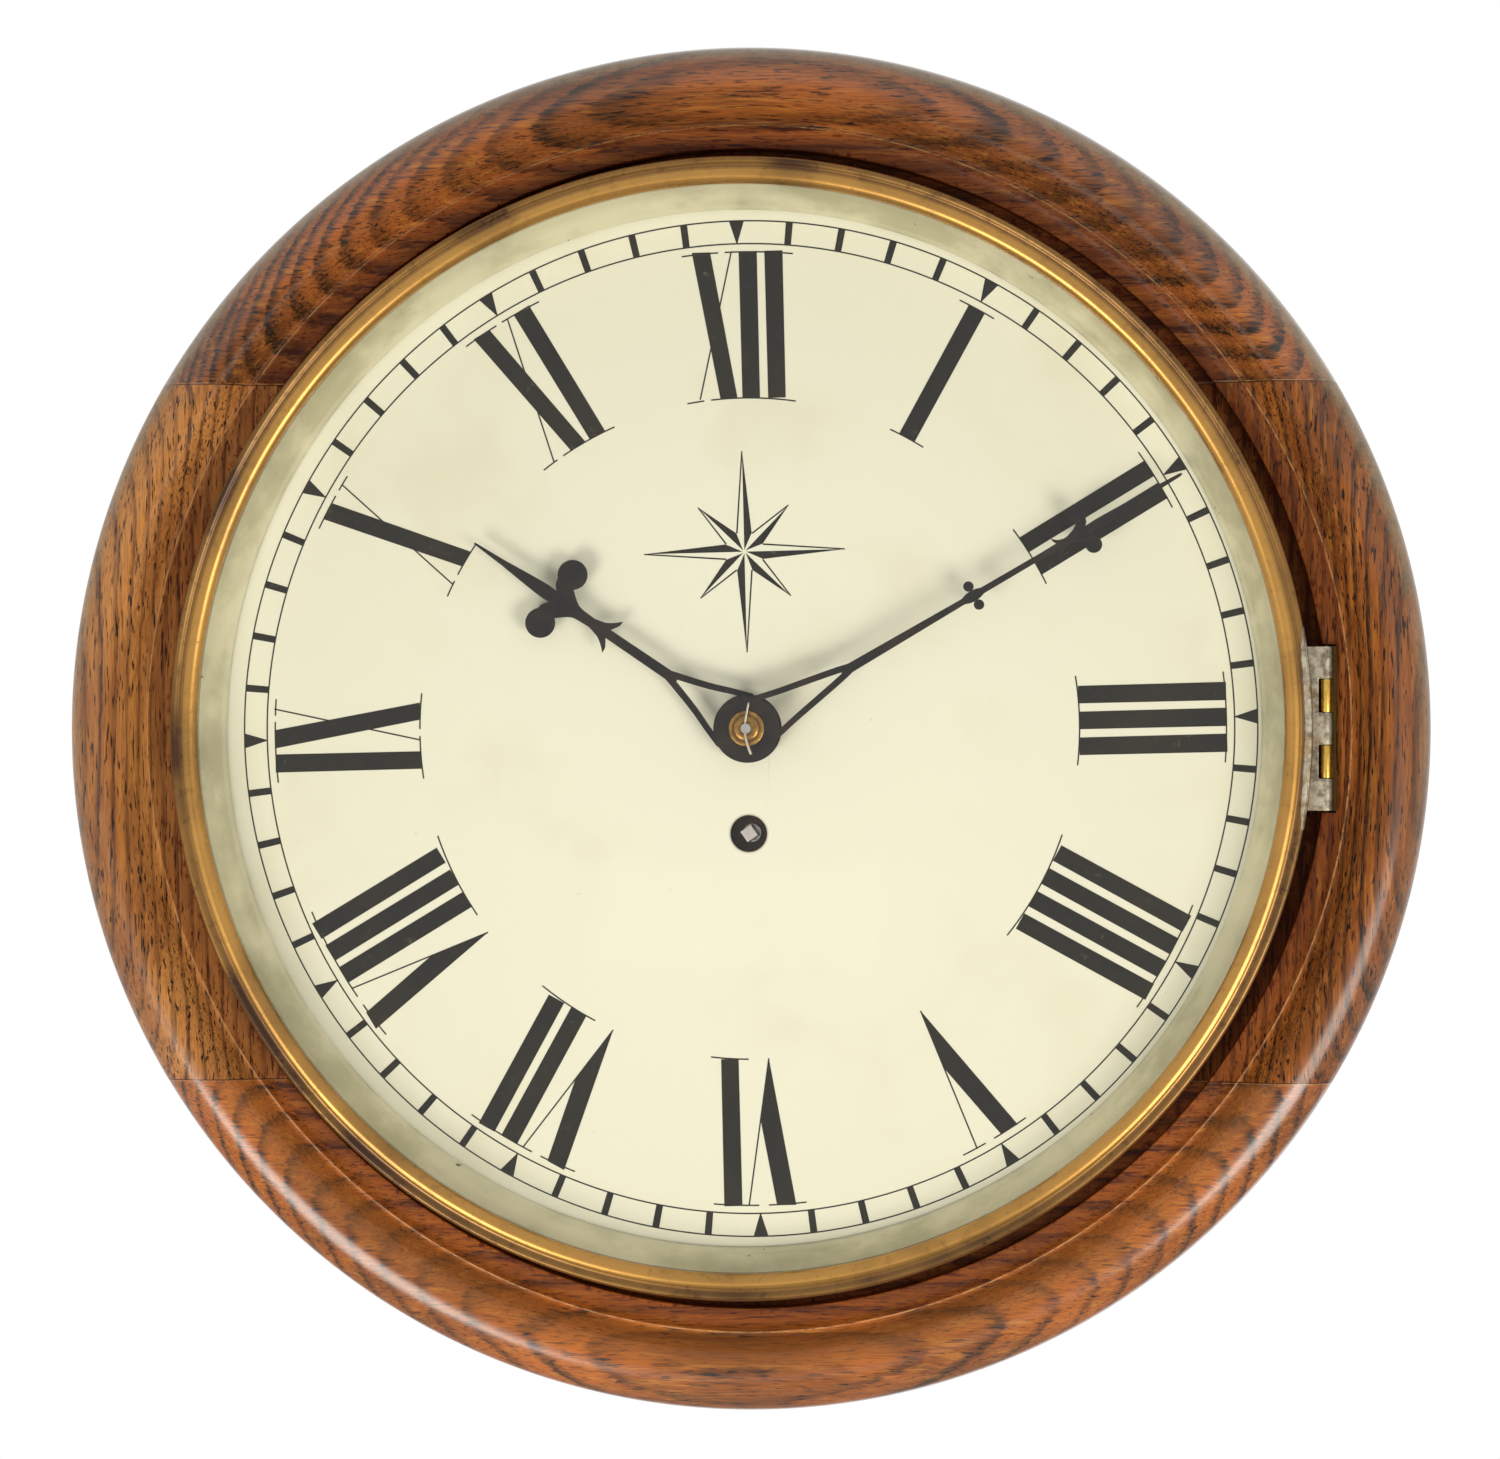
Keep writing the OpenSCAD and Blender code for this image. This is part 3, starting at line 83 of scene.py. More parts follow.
# Wooden surround. The moulding's points are measured outwards and forwards from the arris.
RECESS_R = BEZEL_R + 2.8
ARRIS_R = RECESS_R + 7.8
INNER_R = 90.0
FLAT_DEPTH = SEAT + 11.7
ARRIS_DEPTH = FLAT_DEPTH + 2.1
CORNER_R = 1.6
JOINT_EASE = 0.16
MOULDING = [(0.12, -0.45), (0.9, -0.4), (2.1, 0.6), (4.0, 2.9), (6.4, 5.5), (9.0, 7.4), (12.0, 8.38),
            (15.4, 8.05), (18.6, 6.9), (21.4, 5.1), (23.5, 2.9), (24.8, 0.2), (CASE_R - ARRIS_R, -4.0)]
LEAF_GAP = 0.02
NOTCH_GAP = 0.6
TONGUE_ROOM_HALF = 6.5

# Bezel and sight ring. The beads' points are measured outwards from the bezel's inner edge and forwards
# from its front; the outer bead is also given as a round, for the solder that lies on it.
BEZEL_W = 9.0
BEZEL_IN_R = BEZEL_R - BEZEL_W
BEADS = [(9.0, -2.0), (8.95, -1.4), (8.75, -0.8), (8.2, -0.3), (7.4, -0.2), (6.8, -0.5), (6.3, -0.85),
         (5.8, -0.95), (5.2, -0.8), (4.6, -0.4), (3.8, -0.08), (3.0, 0.0), (2.1, -0.2), (1.2, -0.75),
         (0.5, -1.5), (0.1, -2.3), (0.0, -3.0)]
OUTER_BEAD_R = BEZEL_R - 1.45
OUTER_BEAD_HALF = 1.5
OUTER_BEAD_HIGH = 1.6
SOLDER_HALF = 33.0
SOLDER_T = 0.7
SKIRT_T = 1.8
GLASS_EASE = 0.3
SIGHT_R = BEZEL_IN_R - 7.4
SIGHT_LIP_R = 0.55
SIGHT_T = 0.8

# Dial
DIAL_TURN = 1.4
TRACK_OUT_R = 166.7
TRACK_IN_R = 159.2
LETTER_OUT_R = 156.4
LETTER_IN_R = 108.2
HAIRLINE = 0.45
PAINT_T = 0.1
STAR_AT = (0.0, 58.0)
STAR_REACH = 33.0
STAR_SHORT_REACH = 21.0
STAR_WAIST = 6.6
WIND_UP = -34.4

# Hands, and the time they show, in degrees anticlockwise from three o'clock
MINUTE_ANGLE = 30.3
HOUR_ANGLE = 145.9
HOUR_BOSS_R, HOUR_BORE = 11.2, 5.85
MINUTE_BOSS_R, MINUTE_BORE = 10.6, 3.15
HAND_EASE = 0.28
COLLET_BORE = 1.66

# Faces larger than this, in square millimetres, are shaded flat
LARGE_FACE = 60

# Room, in metres and watts
LAMP_SIZE = 0.75
LAMP_POWER = 15.9
LAMP_COLOUR = (1.0, 0.965, 0.89)
LAMP_AIM = Vector((0, -0.12, 0))
LAMPS = {"lower_left_light": Vector((-0.84, -1.42, -0.93)), "lower_right_light": Vector((1.05, -1.42, -0.68))}
DIM_COLOUR = (1.0, 0.985, 0.96, 1.0)
DIM_STRENGTH = 0.37
WHITE = (1.0, 1.0, 1.0, 1.0)
FLOOR_UP = -1.6

# Camera, in metres: how far it stands from what it looks at, and how wide its view is there
CAMERA_AWAY = 2.4
CAMERA_RIGHT = 0.17
VIEW_W = 0.4909
CAMERA_AIM = Vector((0.0007, -0.125, -0.0003))


def spot(x, up, depth):
    """A place on the clock, from millimetres."""
    return Vector((x * MM, -depth * MM, up * MM))


def polar(radius, degrees):
    return radius * math.cos(math.radians(degrees)), radius * math.sin(math.radians(degrees))


def rotation(degrees):
    """A function that turns a flat point anticlockwise about (0, 0)."""
    c, s = polar(1, degrees)
    return lambda u, v: (u * c - v * s, u * s + v * c)


on_dial = rotation(DIAL_TURN)


def circle(radius, n, cx=0.0, cy=0.0):
    return [(cx + x, cy + y) for x, y in (polar(radius, 360 * i / n) for i in range(n))]


def arc(cx, cy, rx, ry, start, end, steps):
    """Points along part of an ellipse."""
    turns = [math.radians(start + (end - start) * i / steps) for i in range(steps + 1)]
    return [(cx + rx * math.cos(t), cy + ry * math.sin(t)) for t in turns]


def tone(red, green, blue):
    """A colour named by its screen values, as the linear colour that a shader takes."""
    linear = [((c / 255 + 0.055) / 1.055) ** 2.4 if c > 10 else c / 3295 for c in (red, green, blue)]
    return (*linear, 1.0)


# Meshes

def new_object(name, data):
    """An object in the scene that shows a mesh, a lamp or a camera."""
    new = bpy.data.objects.new(name, data)
    bpy.context.scene.collection.objects.link(new)
    return new


def made(name, bm, smooth=35):
    """An object from a bmesh, with soft shading except across edges sharper than smooth degrees."""
    bmesh.ops.recalc_face_normals(bm, faces=bm.faces)
    mesh = bpy.data.meshes.new(name)
    bm.to_mesh(mesh)
    bm.free()
    mesh.shade_smooth()
    mesh.set_sharp_from_angle(angle=math.radians(smooth))
    return new_object(name, mesh)


def turned(profile, sides, centre=0.0):
    """A closed outline of (radius, depth) points, turned about an axis at x = centre."""
    bm = bmesh.new()
    rings = []
    for k in range(sides):
        c, s = polar(1, 360 * k / sides)
        rings.append([bm.verts.new(spot(centre + r * c, r * s, d)) for r, d in profile])
    n = len(profile)
    for k in range(sides):
        here, there = rings[k], rings[(k + 1) % sides]
        for i in range(n):
            j = (i + 1) % n
            bm.faces.new((here[i], here[j], there[j], there[i]))
    bmesh.ops.remove_doubles(bm, verts=bm.verts, dist=1e-7)
    return bm


def keep_side(bm, axis, value, above):
    """Keeps what lies above or below a value of x or z, and closes the cut."""
    normal = Vector((0, 0, 0))
    normal["xyz".index(axis)] = -1.0 if above else 1.0
    place = Vector((0, 0, 0))
    place["xyz".index(axis)] = value * MM
    geom = list(bm.verts) + list(bm.edges) + list(bm.faces)
    bmesh.ops.bisect_plane(bm, geom=geom, dist=1e-7, plane_co=place, plane_no=normal, clear_outer=True)
    bmesh.ops.holes_fill(bm, edges=[e for e in bm.edges if e.is_boundary], sides=0)


def applied(piece, smooth=35):
    """The piece with its modifiers made real. Large faces and those of many corners are shaded flat."""
    bpy.context.view_layer.update()
    result = bpy.data.meshes.new_from_object(piece.evaluated_get(bpy.context.evaluated_depsgraph_get()))
    piece.modifiers.clear()
    piece.data = result
    result.shade_smooth()
    result.set_sharp_from_angle(angle=math.radians(smooth))
    for face in result.polygons:
        face.use_smooth = len(face.vertices) == 4 and face.area < LARGE_FACE * MM * MM
    return piece


def cut_box(piece, x, up, depth):
    """Cuts a block-shaped recess into a piece."""
    bm = bmesh.new()
    bmesh.ops.create_cube(bm, size=1.0)
    for v in bm.verts:
        v.co = spot(x[v.co.x > 0], up[v.co.z > 0], depth[v.co.y < 0])
    cutter = made("cutter", bm)
    hole = piece.modifiers.new("recess", "BOOLEAN")
    hole.operation, hole.solver, hole.object = "DIFFERENCE", "EXACT", cutter
    applied(piece)
    bpy.data.objects.remove(cutter)


def join_flats(bm):
    """Takes out the edges between faces that lie flat beside each other."""
    bmesh.ops.dissolve_limit(bm, angle_limit=math.radians(0.6), verts=bm.verts, edges=bm.edges)


def eased(piece, width, segments=2, angle=35, smooth=35):
    """The piece with its edges rounded by width where they turn by more than angle."""
    ease = piece.modifiers.new("ease", "BEVEL")
    ease.width, ease.segments = width * MM, segments
    ease.limit_method, ease.angle_limit = "ANGLE", math.radians(angle)
    return applied(piece, smooth)


def softened(node, width, segments=2):
    """A copy of a CAD node with its sharp edges eased."""
    bm = bmesh.new()
    bm.from_mesh(nodes[node].data)
    bmesh.ops.remove_doubles(bm, verts=bm.verts, dist=1e-6)
    join_flats(bm)
    return eased(made(node + "_eased", bm), width, segments)


def flat_union(shapes, holes=()):
    """The plain outline that overlapping flat shapes make together, as points and triangles."""
    points, faces = [], []
    for shape in list(shapes) + list(holes):
        twice_area = sum(a[0] * b[1] - b[0] * a[1] for a, b in zip(shape, shape[1:] + shape[:1]))
        if twice_area < 0:
            shape = shape[::-1]
        faces.append(list(range(len(points), len(points) + len(shape))))
        points.extend(Vector(p) for p in shape)
    solid = set(range(len(shapes)))
    verts, _, tris, _, _, came_from = geometry.delaunay_2d_cdt(points, [], faces, 1, 1e-5)
    kept = [t for t, origin in zip(tris, came_from) if set(origin) <= solid and origin]
    return verts, kept


def plate_mesh(bm, shapes, back, front, place, holes=()):
    """Adds a flat plate of the joined shapes; place turns (u, v) into (x, up)."""
    verts, tris = flat_union(shapes, holes)
    used = sorted({i for t in tris for i in t})
    lower, upper = {}, {}
    for i in used:
        x, up = place(verts[i].x, verts[i].y)
        lower[i] = bm.verts.new(spot(x, up, back))
        upper[i] = bm.verts.new(spot(x, up, front))
    edges = {}
    for t in tris:
        bm.faces.new([upper[i] for i in t])
        bm.faces.new([lower[i] for i in reversed(t)])
        for a, b in zip(t, t[1:] + t[:1]):
            edges[(a, b)] = edges.get((a, b), 0) + 1
    for a, b in edges:
        if (b, a) not in edges:
            bm.faces.new((upper[b], upper[a], lower[a], lower[b]))


def on_curve(p, q, r, s, t):
    """A coordinate on the smooth curve from q (t = 0) to r (t = 1), with p before them and s after."""
    square = 2 * p - 5 * q + 4 * r - s
    cube = 3 * q - p - 3 * r + s
    return 0.5 * (2 * q + (r - p) * t + square * t * t + cube * t ** 3)


def smooth_line(points, steps):
    """A smooth curve through the points, with a number of steps between each two."""
    ends = [points[0]] + list(points) + [points[-1]]
    line = []
    for a, b, c, d in zip(ends, ends[1:], ends[2:], ends[3:]):
        for k in range(steps):
            t = k / steps
            line.append(tuple(on_curve(*axis, t) for axis in zip(a, b, c, d)))
    return line + [tuple(points[-1])]


def strip(points, widths):
    """A flat strip along a line, with its width at each point."""
    left, right = [], []
    for i, (p, w) in enumerate(zip(points, widths)):
        a, b = Vector(points[max(i - 1, 0)]), Vector(points[min(i + 1, len(points) - 1)])
        side = (b - a).normalized().orthogonal() * w / 2
        left.append(tuple(Vector(p) + side))
        right.append(tuple(Vector(p) - side))
    return left + right[::-1]


def swept(name, centres, radii, sides):
    """A round rod along a line of places, with closed ends."""
    bm = bmesh.new()
    loops = []
    for i, (c, r) in enumerate(zip(centres, radii)):
        way = centres[min(i + 1, len(centres) - 1)] - centres[max(i - 1, 0)]
        turn = way.to_track_quat("Z", "Y")
        loops.append([bm.verts.new(c + turn @ Vector((*[r * q for q in polar(1, 360 * k / sides)], 0)))
                      for k in range(sides)])
    for a, b in zip(loops, loops[1:]):
        for k in range(sides):
            bm.faces.new((a[k], a[(k + 1) % sides], b[(k + 1) % sides], b[k]))
    bm.faces.new(loops[0][::-1])
    bm.faces.new(loops[-1])
    return made(name, bm)


# Node trees and finishes

class Tree:
    """A node tree under construction."""

    def __init__(self, tree):
        self.tree = tree
        tree.nodes.clear()

    def join(self, value, socket):
        """Links a socket to another one, or sets it to a plain value."""
        if isinstance(value, bpy.types.NodeSocket):
            self.tree.links.new(value, socket)
        else:
            socket.default_value = value

    def add(self, kind, inputs=(), **settings):
        """A new node, with its inputs given by name or number."""
        new = self.tree.nodes.new(kind)
        for key, value in settings.items():
            setattr(new, key, value)
        for key, value in dict(inputs).items():
            self.join(value, new.inputs[key])
        return new

    def math(self, operation, *values, clamp=False):
        return self.add("ShaderNodeMath", enumerate(values), operation=operation, use_clamp=clamp).outputs[0]


class Finish(Tree):
    """A material under construction, with a short call for each kind of node used here."""

    def __init__(self, name):
        self.material = bpy.data.materials.new(name)
        self.material.use_nodes = True
        super().__init__(self.material.node_tree)
        self.shader = self.add("ShaderNodeBsdfPrincipled")
        self.output = self.add("ShaderNodeOutputMaterial", {"Surface": self.shader.outputs[0]})
        self.place = self.add("ShaderNodeTexCoord").outputs["Object"]

    def times(self, first, *others):
        for other in others:
            first = self.math("MULTIPLY", first, other)
        return first

    def plus(self, value, factor, start, clamp=False):
        """start + value * factor"""
        return self.math("MULTIPLY_ADD", value, factor, start, clamp=clamp)

    def parts(self, vector):
        return list(self.add("ShaderNodeSeparateXYZ", {0: vector}).outputs)

    def vector(self, *parts):
        return self.add("ShaderNodeCombineXYZ", enumerate(parts)).outputs[0]

    def moved(self, vector, shift=(0, 0, 0), scale=(1, 1, 1)):
        inputs = {"Vector": vector, "Location": shift, "Scale": scale}
        return self.add("ShaderNodeMapping", inputs).outputs[0]

    def step(self, value, low, high, start=0.0, end=1.0):
        """Goes softly from start to end while the value goes from low to high."""
        inputs = enumerate((value, low, high, start, end))
        return self.add("ShaderNodeMapRange", inputs, interpolation_type="SMOOTHSTEP").outputs[0]

    def band(self, value, middle, half, soft):
        """One inside a band of values, and zero outside it."""
        away = self.math("ABSOLUTE", self.math("SUBTRACT", value, middle))
        return self.step(away, half, half + soft, 1.0, 0.0)

    def clouds(self, scale, detail, roughness=0.5, at=None):
        """Noise over the piece's own coordinates, or over other ones."""
        inputs = {"Vector": at or self.place, "Scale": scale, "Detail": detail, "Roughness": roughness}
        return self.add("ShaderNodeTexNoise", inputs).outputs[0]

    def random(self, value):
        return self.add("ShaderNodeTexWhiteNoise", {"W": value}, noise_dimensions="1D").outputs[0]

    def mix(self, share, a, b):
        return self.add("ShaderNodeMix", {0: share, 6: a, 7: b}, data_type="RGBA").outputs[2]

    def base(self, share, shade, other):
        """Starts the colour as a blend of two shades, given by their screen values."""
        self.colour = self.mix(share, tone(*shade), tone(*other))

    def lay(self, shade, share, *shares):
        """Lays a shade over the colour, as strongly as the product of the shares."""
        self.colour = self.mix(self.times(share, *shares), self.colour, tone(*shade))

    def distance(self, a, b):
        """Millimetres from an axis, where a and b are the metres across it."""
        squares = self.math("ADD", self.times(a, a), self.times(b, b))
        return self.times(self.math("SQRT", squares), 1 / MM)

    def radius(self, centre=0.0, up=0.0):
        """Distance from an axis that runs front to back, in millimetres."""
        x, _, z = self.parts(self.place)
        return self.distance(self.math("SUBTRACT", x, centre * MM), self.math("SUBTRACT", z, up * MM))

    def relief(self, height, distance, strength):
        """Bumps that are distance millimetres high."""
        inputs = {"Strength": strength, "Distance": distance * MM, "Height": height}
        self.give(Normal=self.add("ShaderNodeBump", inputs).outputs[0])

    def give(self, **values):
        """Sets the shader's own sockets, named with _ for a space."""
        for key, value in values.items():
            self.join(value, self.shader.inputs[key.replace("_", " ")])


# Oak. The shades are screen values.
OPEN_PORE = (34, 19, 13)
GOLDEN_STREAK = (204, 136, 60)
RECESS_DIRT_AND_PAINTED_SHADE = (50, 30, 18)
FLAT_STAIN = (86, 30, 12)
HOLLOW_PAINTED_SHADE = (48, 25, 15)
WORN_ARRIS = (200, 150, 94)
JOINT_LINE = (36, 20, 14)
JOINT_WEAR = (196, 146, 98)
RIM_PAINTED_SHEEN = (172, 150, 118)
LIT_SLOPE = (208, 140, 88)
SHADED_SLOPE = (58, 38, 24)

# How far the ovals of a board's figure shift with each millimetre of depth
DEPTH_LEAN = 0.12


def ring_distance(f, across, stretched, ring, figure):
    """How far a place lies through the tree's growth, in millimetres, with the rings' unevenness."""
    if figure:
        side, oval_x, oval_r, closing = figure
        _, y, z = f.parts(f.place)
        r = f.radius(oval_x)
        off = f.math("SUBTRACT", r, oval_r)
        bend = f.plus(f.times(off, off), -closing, f.times(r, -1.0))
        bend = f.times(bend, f.step(r, ARRIS_R - 0.1, ARRIS_R + 0.1))
        away = f.plus(z, side / MM, bend)
        away = f.plus(y, -DEPTH_LEAN / MM, away)
    else:
        away = f.distance(*across)
    wide = f.clouds(15.0, 2.0, at=stretched(0.3))
    ragged = f.clouds(620.0, 3.0, 0.65, at=stretched(0.1))
    away = f.plus(f.math("SUBTRACT", wide, 0.5), 2.4 * ring, away)
    return f.plus(f.math("SUBTRACT", ragged, 0.5), 0.55 * ring, away)


def moulding_wear_and_painted_light(f, gloss, figure, polish):
    """A surround board's stains, worn edges and joints, with its painted light: painted shade in the recess
    and the hollow, a painted sheen on the rim, and the slope painted lit on the lowest board and shaded on
    the others. Gives its roughness and coat.
    """
    r = f.radius()
    _, y, z = f.parts(f.place)
    worn = f.clouds(260.0, 3.0, 0.7)
    flat = f.step(r, ARRIS_R - 0.5, ARRIS_R - 0.2, 1.0, 0.0)
    # Painted shade, with some dirt, along the recess edge in the gap beside the bezel.
    f.lay(RECESS_DIRT_AND_PAINTED_SHADE, f.step(r, RECESS_R + 0.1, RECESS_R + 0.5, 0.12, 0.0))
    dust = f.times(f.step(worn, 0.5, 0.7), f.step(r, RECESS_R + 0.6, RECESS_R + 2.6, 0.9, 0.0))
    f.lay(FLAT_STAIN, f.plus(flat, 0.36, f.times(dust, flat)))
    # Painted shade in the hollow beside the arris.
    f.lay(HOLLOW_PAINTED_SHADE, f.band(r, ARRIS_R + 1.2, 0.5, 1.4), 0.1)
    arris = f.band(r, ARRIS_R - 0.05, 0.16, 0.16)
    f.lay(WORN_ARRIS, arris, f.step(worn, 0.4, 0.6, 0.25, 0.85))
    for joint in (UPPER_JOINT, LOWER_JOINT):
        f.lay(JOINT_LINE, f.band(z, joint * MM, 0.1 * MM, 0.12 * MM), 0.85)
        beside = joint + math.copysign(0.38, joint)
        pale = f.band(z, beside * MM, 0.08 * MM, 0.12 * MM)
        f.lay(JOINT_WEAR, pale, f.step(worn, 0.4, 0.6, 0.1, 0.6))
    # Painted sheen of the room's reflection along the rim's front shoulder, stronger towards the top; front
    # also weights the coat.
    front = f.step(y, -(FLAT_DEPTH - 2.0) * MM, -(FLAT_DEPTH - 12.0) * MM, 1.0, 0.0)
    height = f.step(z, -0.12, 0.16, 0.05, 1.25)
    rim = f.times(f.step(r, CASE_R - 6.0, CASE_R - 1.2), f.step(worn, 0.3, 0.66, 0.35, 0.8))
    rim = f.times(rim, f.times(front, height))
    f.lay(RIM_PAINTED_SHEEN, rim)
    lowest = figure is not None and figure[0] < 0
    if figure:
        slope = f.band(r, ARRIS_R + 6.5, 3.5, 3.0)
        f.lay(LIT_SLOPE if lowest else SHADED_SLOPE, slope, 0.22)
    slope_coat = 0.25 if lowest else 0.08
    coat = f.step(r, ARRIS_R + 10.0, ARRIS_R + 16.0, slope_coat * polish, polish)
    return f.plus(rim, 0.2, gloss), f.times(coat, f.plus(front, 0.75, 0.25))


def oak(name, along, pith, ring, light, dark, mellow, line=0.34, pore=0.6, polish=0.4, moulded=False,
        figure=None):
    """Polished oak. along is the grain's direction; the growth rings go round a line through pith.

    line is the dark part of a ring. figure gives a board its nested ovals: up or down (1, -1), their middle
    in x and in radius, and how quickly they close across the moulding.
    """
    f = Finish(name)
    across = f.parts(f.moved(f.place, shift=tuple(-p * MM for p in pith)))
    length = across.pop("xyz".index(along))

    def stretched(share):
        return f.vector(f.times(length, share), *across)

    rings = f.math("DIVIDE", ring_distance(f, across, stretched, ring, figure), ring)
    year = f.random(f.math("FLOOR", rings))
    season = f.math("FRACT", rings)
    porous = f.times(f.step(season, 0.0, 0.16), f.step(season, line * 0.6, line * 1.8, 1.0, 0.0))
    streaks = f.step(f.clouds(800.0, 3.0, 0.65, at=stretched(0.07)), 0.42, 0.6)
    fine = f.step(f.clouds(2300.0, 2.0, 0.6, at=stretched(0.04)), 0.4, 0.68)
    pores = f.step(f.clouds(1350.0, 2.0, 0.5, at=stretched(0.1)), 0.57, 0.66)
    drift = f.clouds(34.0, 3.0, 0.6, at=stretched(0.4))
    shade = f.times(porous, f.plus(streaks, 0.5, 0.55))
    shade = f.math("MULTIPLY", shade, f.plus(year, 0.5, 0.62), clamp=True)
    f.base(f.step(drift, 0.36, 0.66), light, mellow)
    f.lay(dark, fine, 0.42)
    if moulded:
        golden = f.step(f.clouds(460.0, 3.0, 0.65, at=stretched(0.06)), 0.5, 0.7)
        f.lay(GOLDEN_STREAK, golden, 0.4)
    f.lay(dark, shade)
    holes = f.times(pores, f.plus(porous, 0.4, pore))
    f.lay(OPEN_PORE, holes)
    gloss = f.plus(drift, 0.14, 0.36)
    coat = polish
    if moulded:
        gloss, coat = moulding_wear_and_painted_light(f, gloss, figure, polish)
    f.give(Base_Color=f.colour, Roughness=gloss, Coat_Weight=coat, Coat_Roughness=0.23, Coat_IOR=1.65,
           Specular_IOR_Level=0.06)
    f.relief(f.plus(holes, -1.0, f.times(fine, -0.3)), 0.06, 0.5)
    return f.material


def aged_metal(name, bright, dull, rough=(0.2, 0.42), grime=(60, 42, 26), spots=0.5, turned_about=None,
               blackened_beyond=None, core=None):
    """Metal with drifting tarnish, small dark spots and fine scratches.

    turned_about is the x of the axis of a turned piece. blackened_beyond blackens what lies to the right of
    a place. core is the height, radius and shade of a round middle in another colour: steel at the arbors'
    ends, and painted shade round the winding hole on the front plate.
    """
    f = Finish(name)
    drift = f.clouds(26.0, 4.0, 0.6)
    small = f.clouds(420.0, 3.0, 0.65)
    tarnish = f.step(f.plus(small, 0.35, f.times(drift, 0.75)), 0.42, 0.72)
    f.base(tarnish, bright, dull)
    freckles = f.times(f.step(f.clouds(900.0, 2.0, 0.7), 0.64, 0.74), spots)
    f.lay(grime, freckles)
    if turned_about is None:
        scratch = f.clouds(2600.0, 2.0, 0.7, at=f.moved(f.place, scale=(1.0, 1.0, 0.04)))
    else:
        grooves = f.vector(f.times(f.radius(turned_about), 0.012), 0.0, f.times(small, 0.002))
        scratch = f.clouds(300.0, 4.0, 0.8, at=grooves)
    # Blackens the metal to the right of a place.
    if blackened_beyond is not None:
        x, _, _ = f.parts(f.place)
        blackened = f.step(x, blackened_beyond * MM, (blackened_beyond + 0.2) * MM, 0.0, 0.92)
        f.lay((30, 20, 14), blackened)
    if core:
        up, core_r, core_shade = core
        middle = f.step(f.radius(0.0, up), core_r, core_r + 0.15, 1.0, 0.0)
        core_colour = f.mix(f.times(tarnish, 0.4), tone(*core_shade), tone(*grime))
        f.colour = f.mix(middle, f.colour, core_colour)
    gloss = f.plus(tarnish, rough[1] - rough[0], rough[0])
    f.give(Base_Color=f.colour, Metallic=1.0, Roughness=f.plus(freckles, 0.2, gloss))
    f.relief(f.plus(scratch, 0.5, small), 0.02, 0.5)
    return f.material


def bezel_brass():
    """Lacquered brass, golder on its inner bead and browner outside, the brown partly tarnish and partly
    a painted dark reflection, with a painted highlight along its outer edge.
    """
    f = Finish("bezel_brass")
    r = f.radius(BEZEL_X)
    drift = f.clouds(17.0, 3.0, 0.6)
    small = f.clouds(330.0, 3.0, 0.65)
    # Browner outside: partly tarnish and partly a painted dark reflection of the room.
    outer = f.step(r, BEZEL_IN_R + 4.4, BEZEL_IN_R + 6.0)
    tarnish_and_dark_reflection = f.plus(outer, 0.58, f.times(f.step(drift, 0.42, 0.72), 0.5), clamp=True)
    tarnish_and_dark_reflection = f.plus(f.step(small, 0.5, 0.75), 0.22, tarnish_and_dark_reflection, clamp=True)
    f.base(tarnish_and_dark_reflection, (176, 130, 62), (60, 36, 15))
    hollow = f.band(r, BEZEL_IN_R + 5.8, 0.1, 0.6)
    f.lay((92, 58, 32), hollow, 0.4)
    # A painted highlight along the outer edge.
    painted_edge_highlight = f.band(r, BEZEL_IN_R + 8.7, 0.1, 0.3)
    f.lay((214, 172, 104), painted_edge_highlight, 0.45)
    freckles = f.step(f.clouds(700.0, 2.0, 0.7), 0.66, 0.76)
    f.lay((70, 44, 26), freckles, 0.55)
    lines = f.clouds(420.0, 4.0, 0.85, at=f.vector(f.times(r, 0.01), 0.0, 0.0))
    f.give(Base_Color=f.colour, Metallic=1.0, Roughness=f.plus(tarnish_and_dark_reflection, 0.14, 0.3), Coat_Weight=0.4,
           Coat_Roughness=0.22)
    f.relief(f.plus(lines, 0.5, small), 0.012, 0.4)
    return f.material


def silvered():
    """Dull silvering on the sight ring, gone yellowish, with a pale inner line of painted highlight and
    chips.
    """
    f = Finish("silvered")
    r = f.radius(BEZEL_X)
    cloud = f.clouds(34.0, 4.0, 0.6)
    grit = f.clouds(800.0, 3.0, 0.7)
    f.base(f.step(cloud, 0.38, 0.66), (224, 216, 184), (190, 182, 147))
    outer = f.step(r, SIGHT_R + 3.2, SIGHT_R + 6.8)
    f.lay((118, 108, 80), outer, 0.18)
    # A painted highlight along the inner lip.
    lip = f.band(r, SIGHT_R + 0.9, 0.35, 0.35)
    f.lay((226, 218, 188), lip, 0.3)
    chips = f.step(f.clouds(120.0, 4.0, 0.75), 0.69, 0.71)
    f.lay((66, 58, 42), chips, 0.85)
    f.give(Base_Color=f.colour, Metallic=0.45, Roughness=f.plus(grit, 0.2, 0.42))
    f.relief(f.plus(chips, -1.0, f.times(grit, 0.4)), 0.04, 0.6)
    return f.material


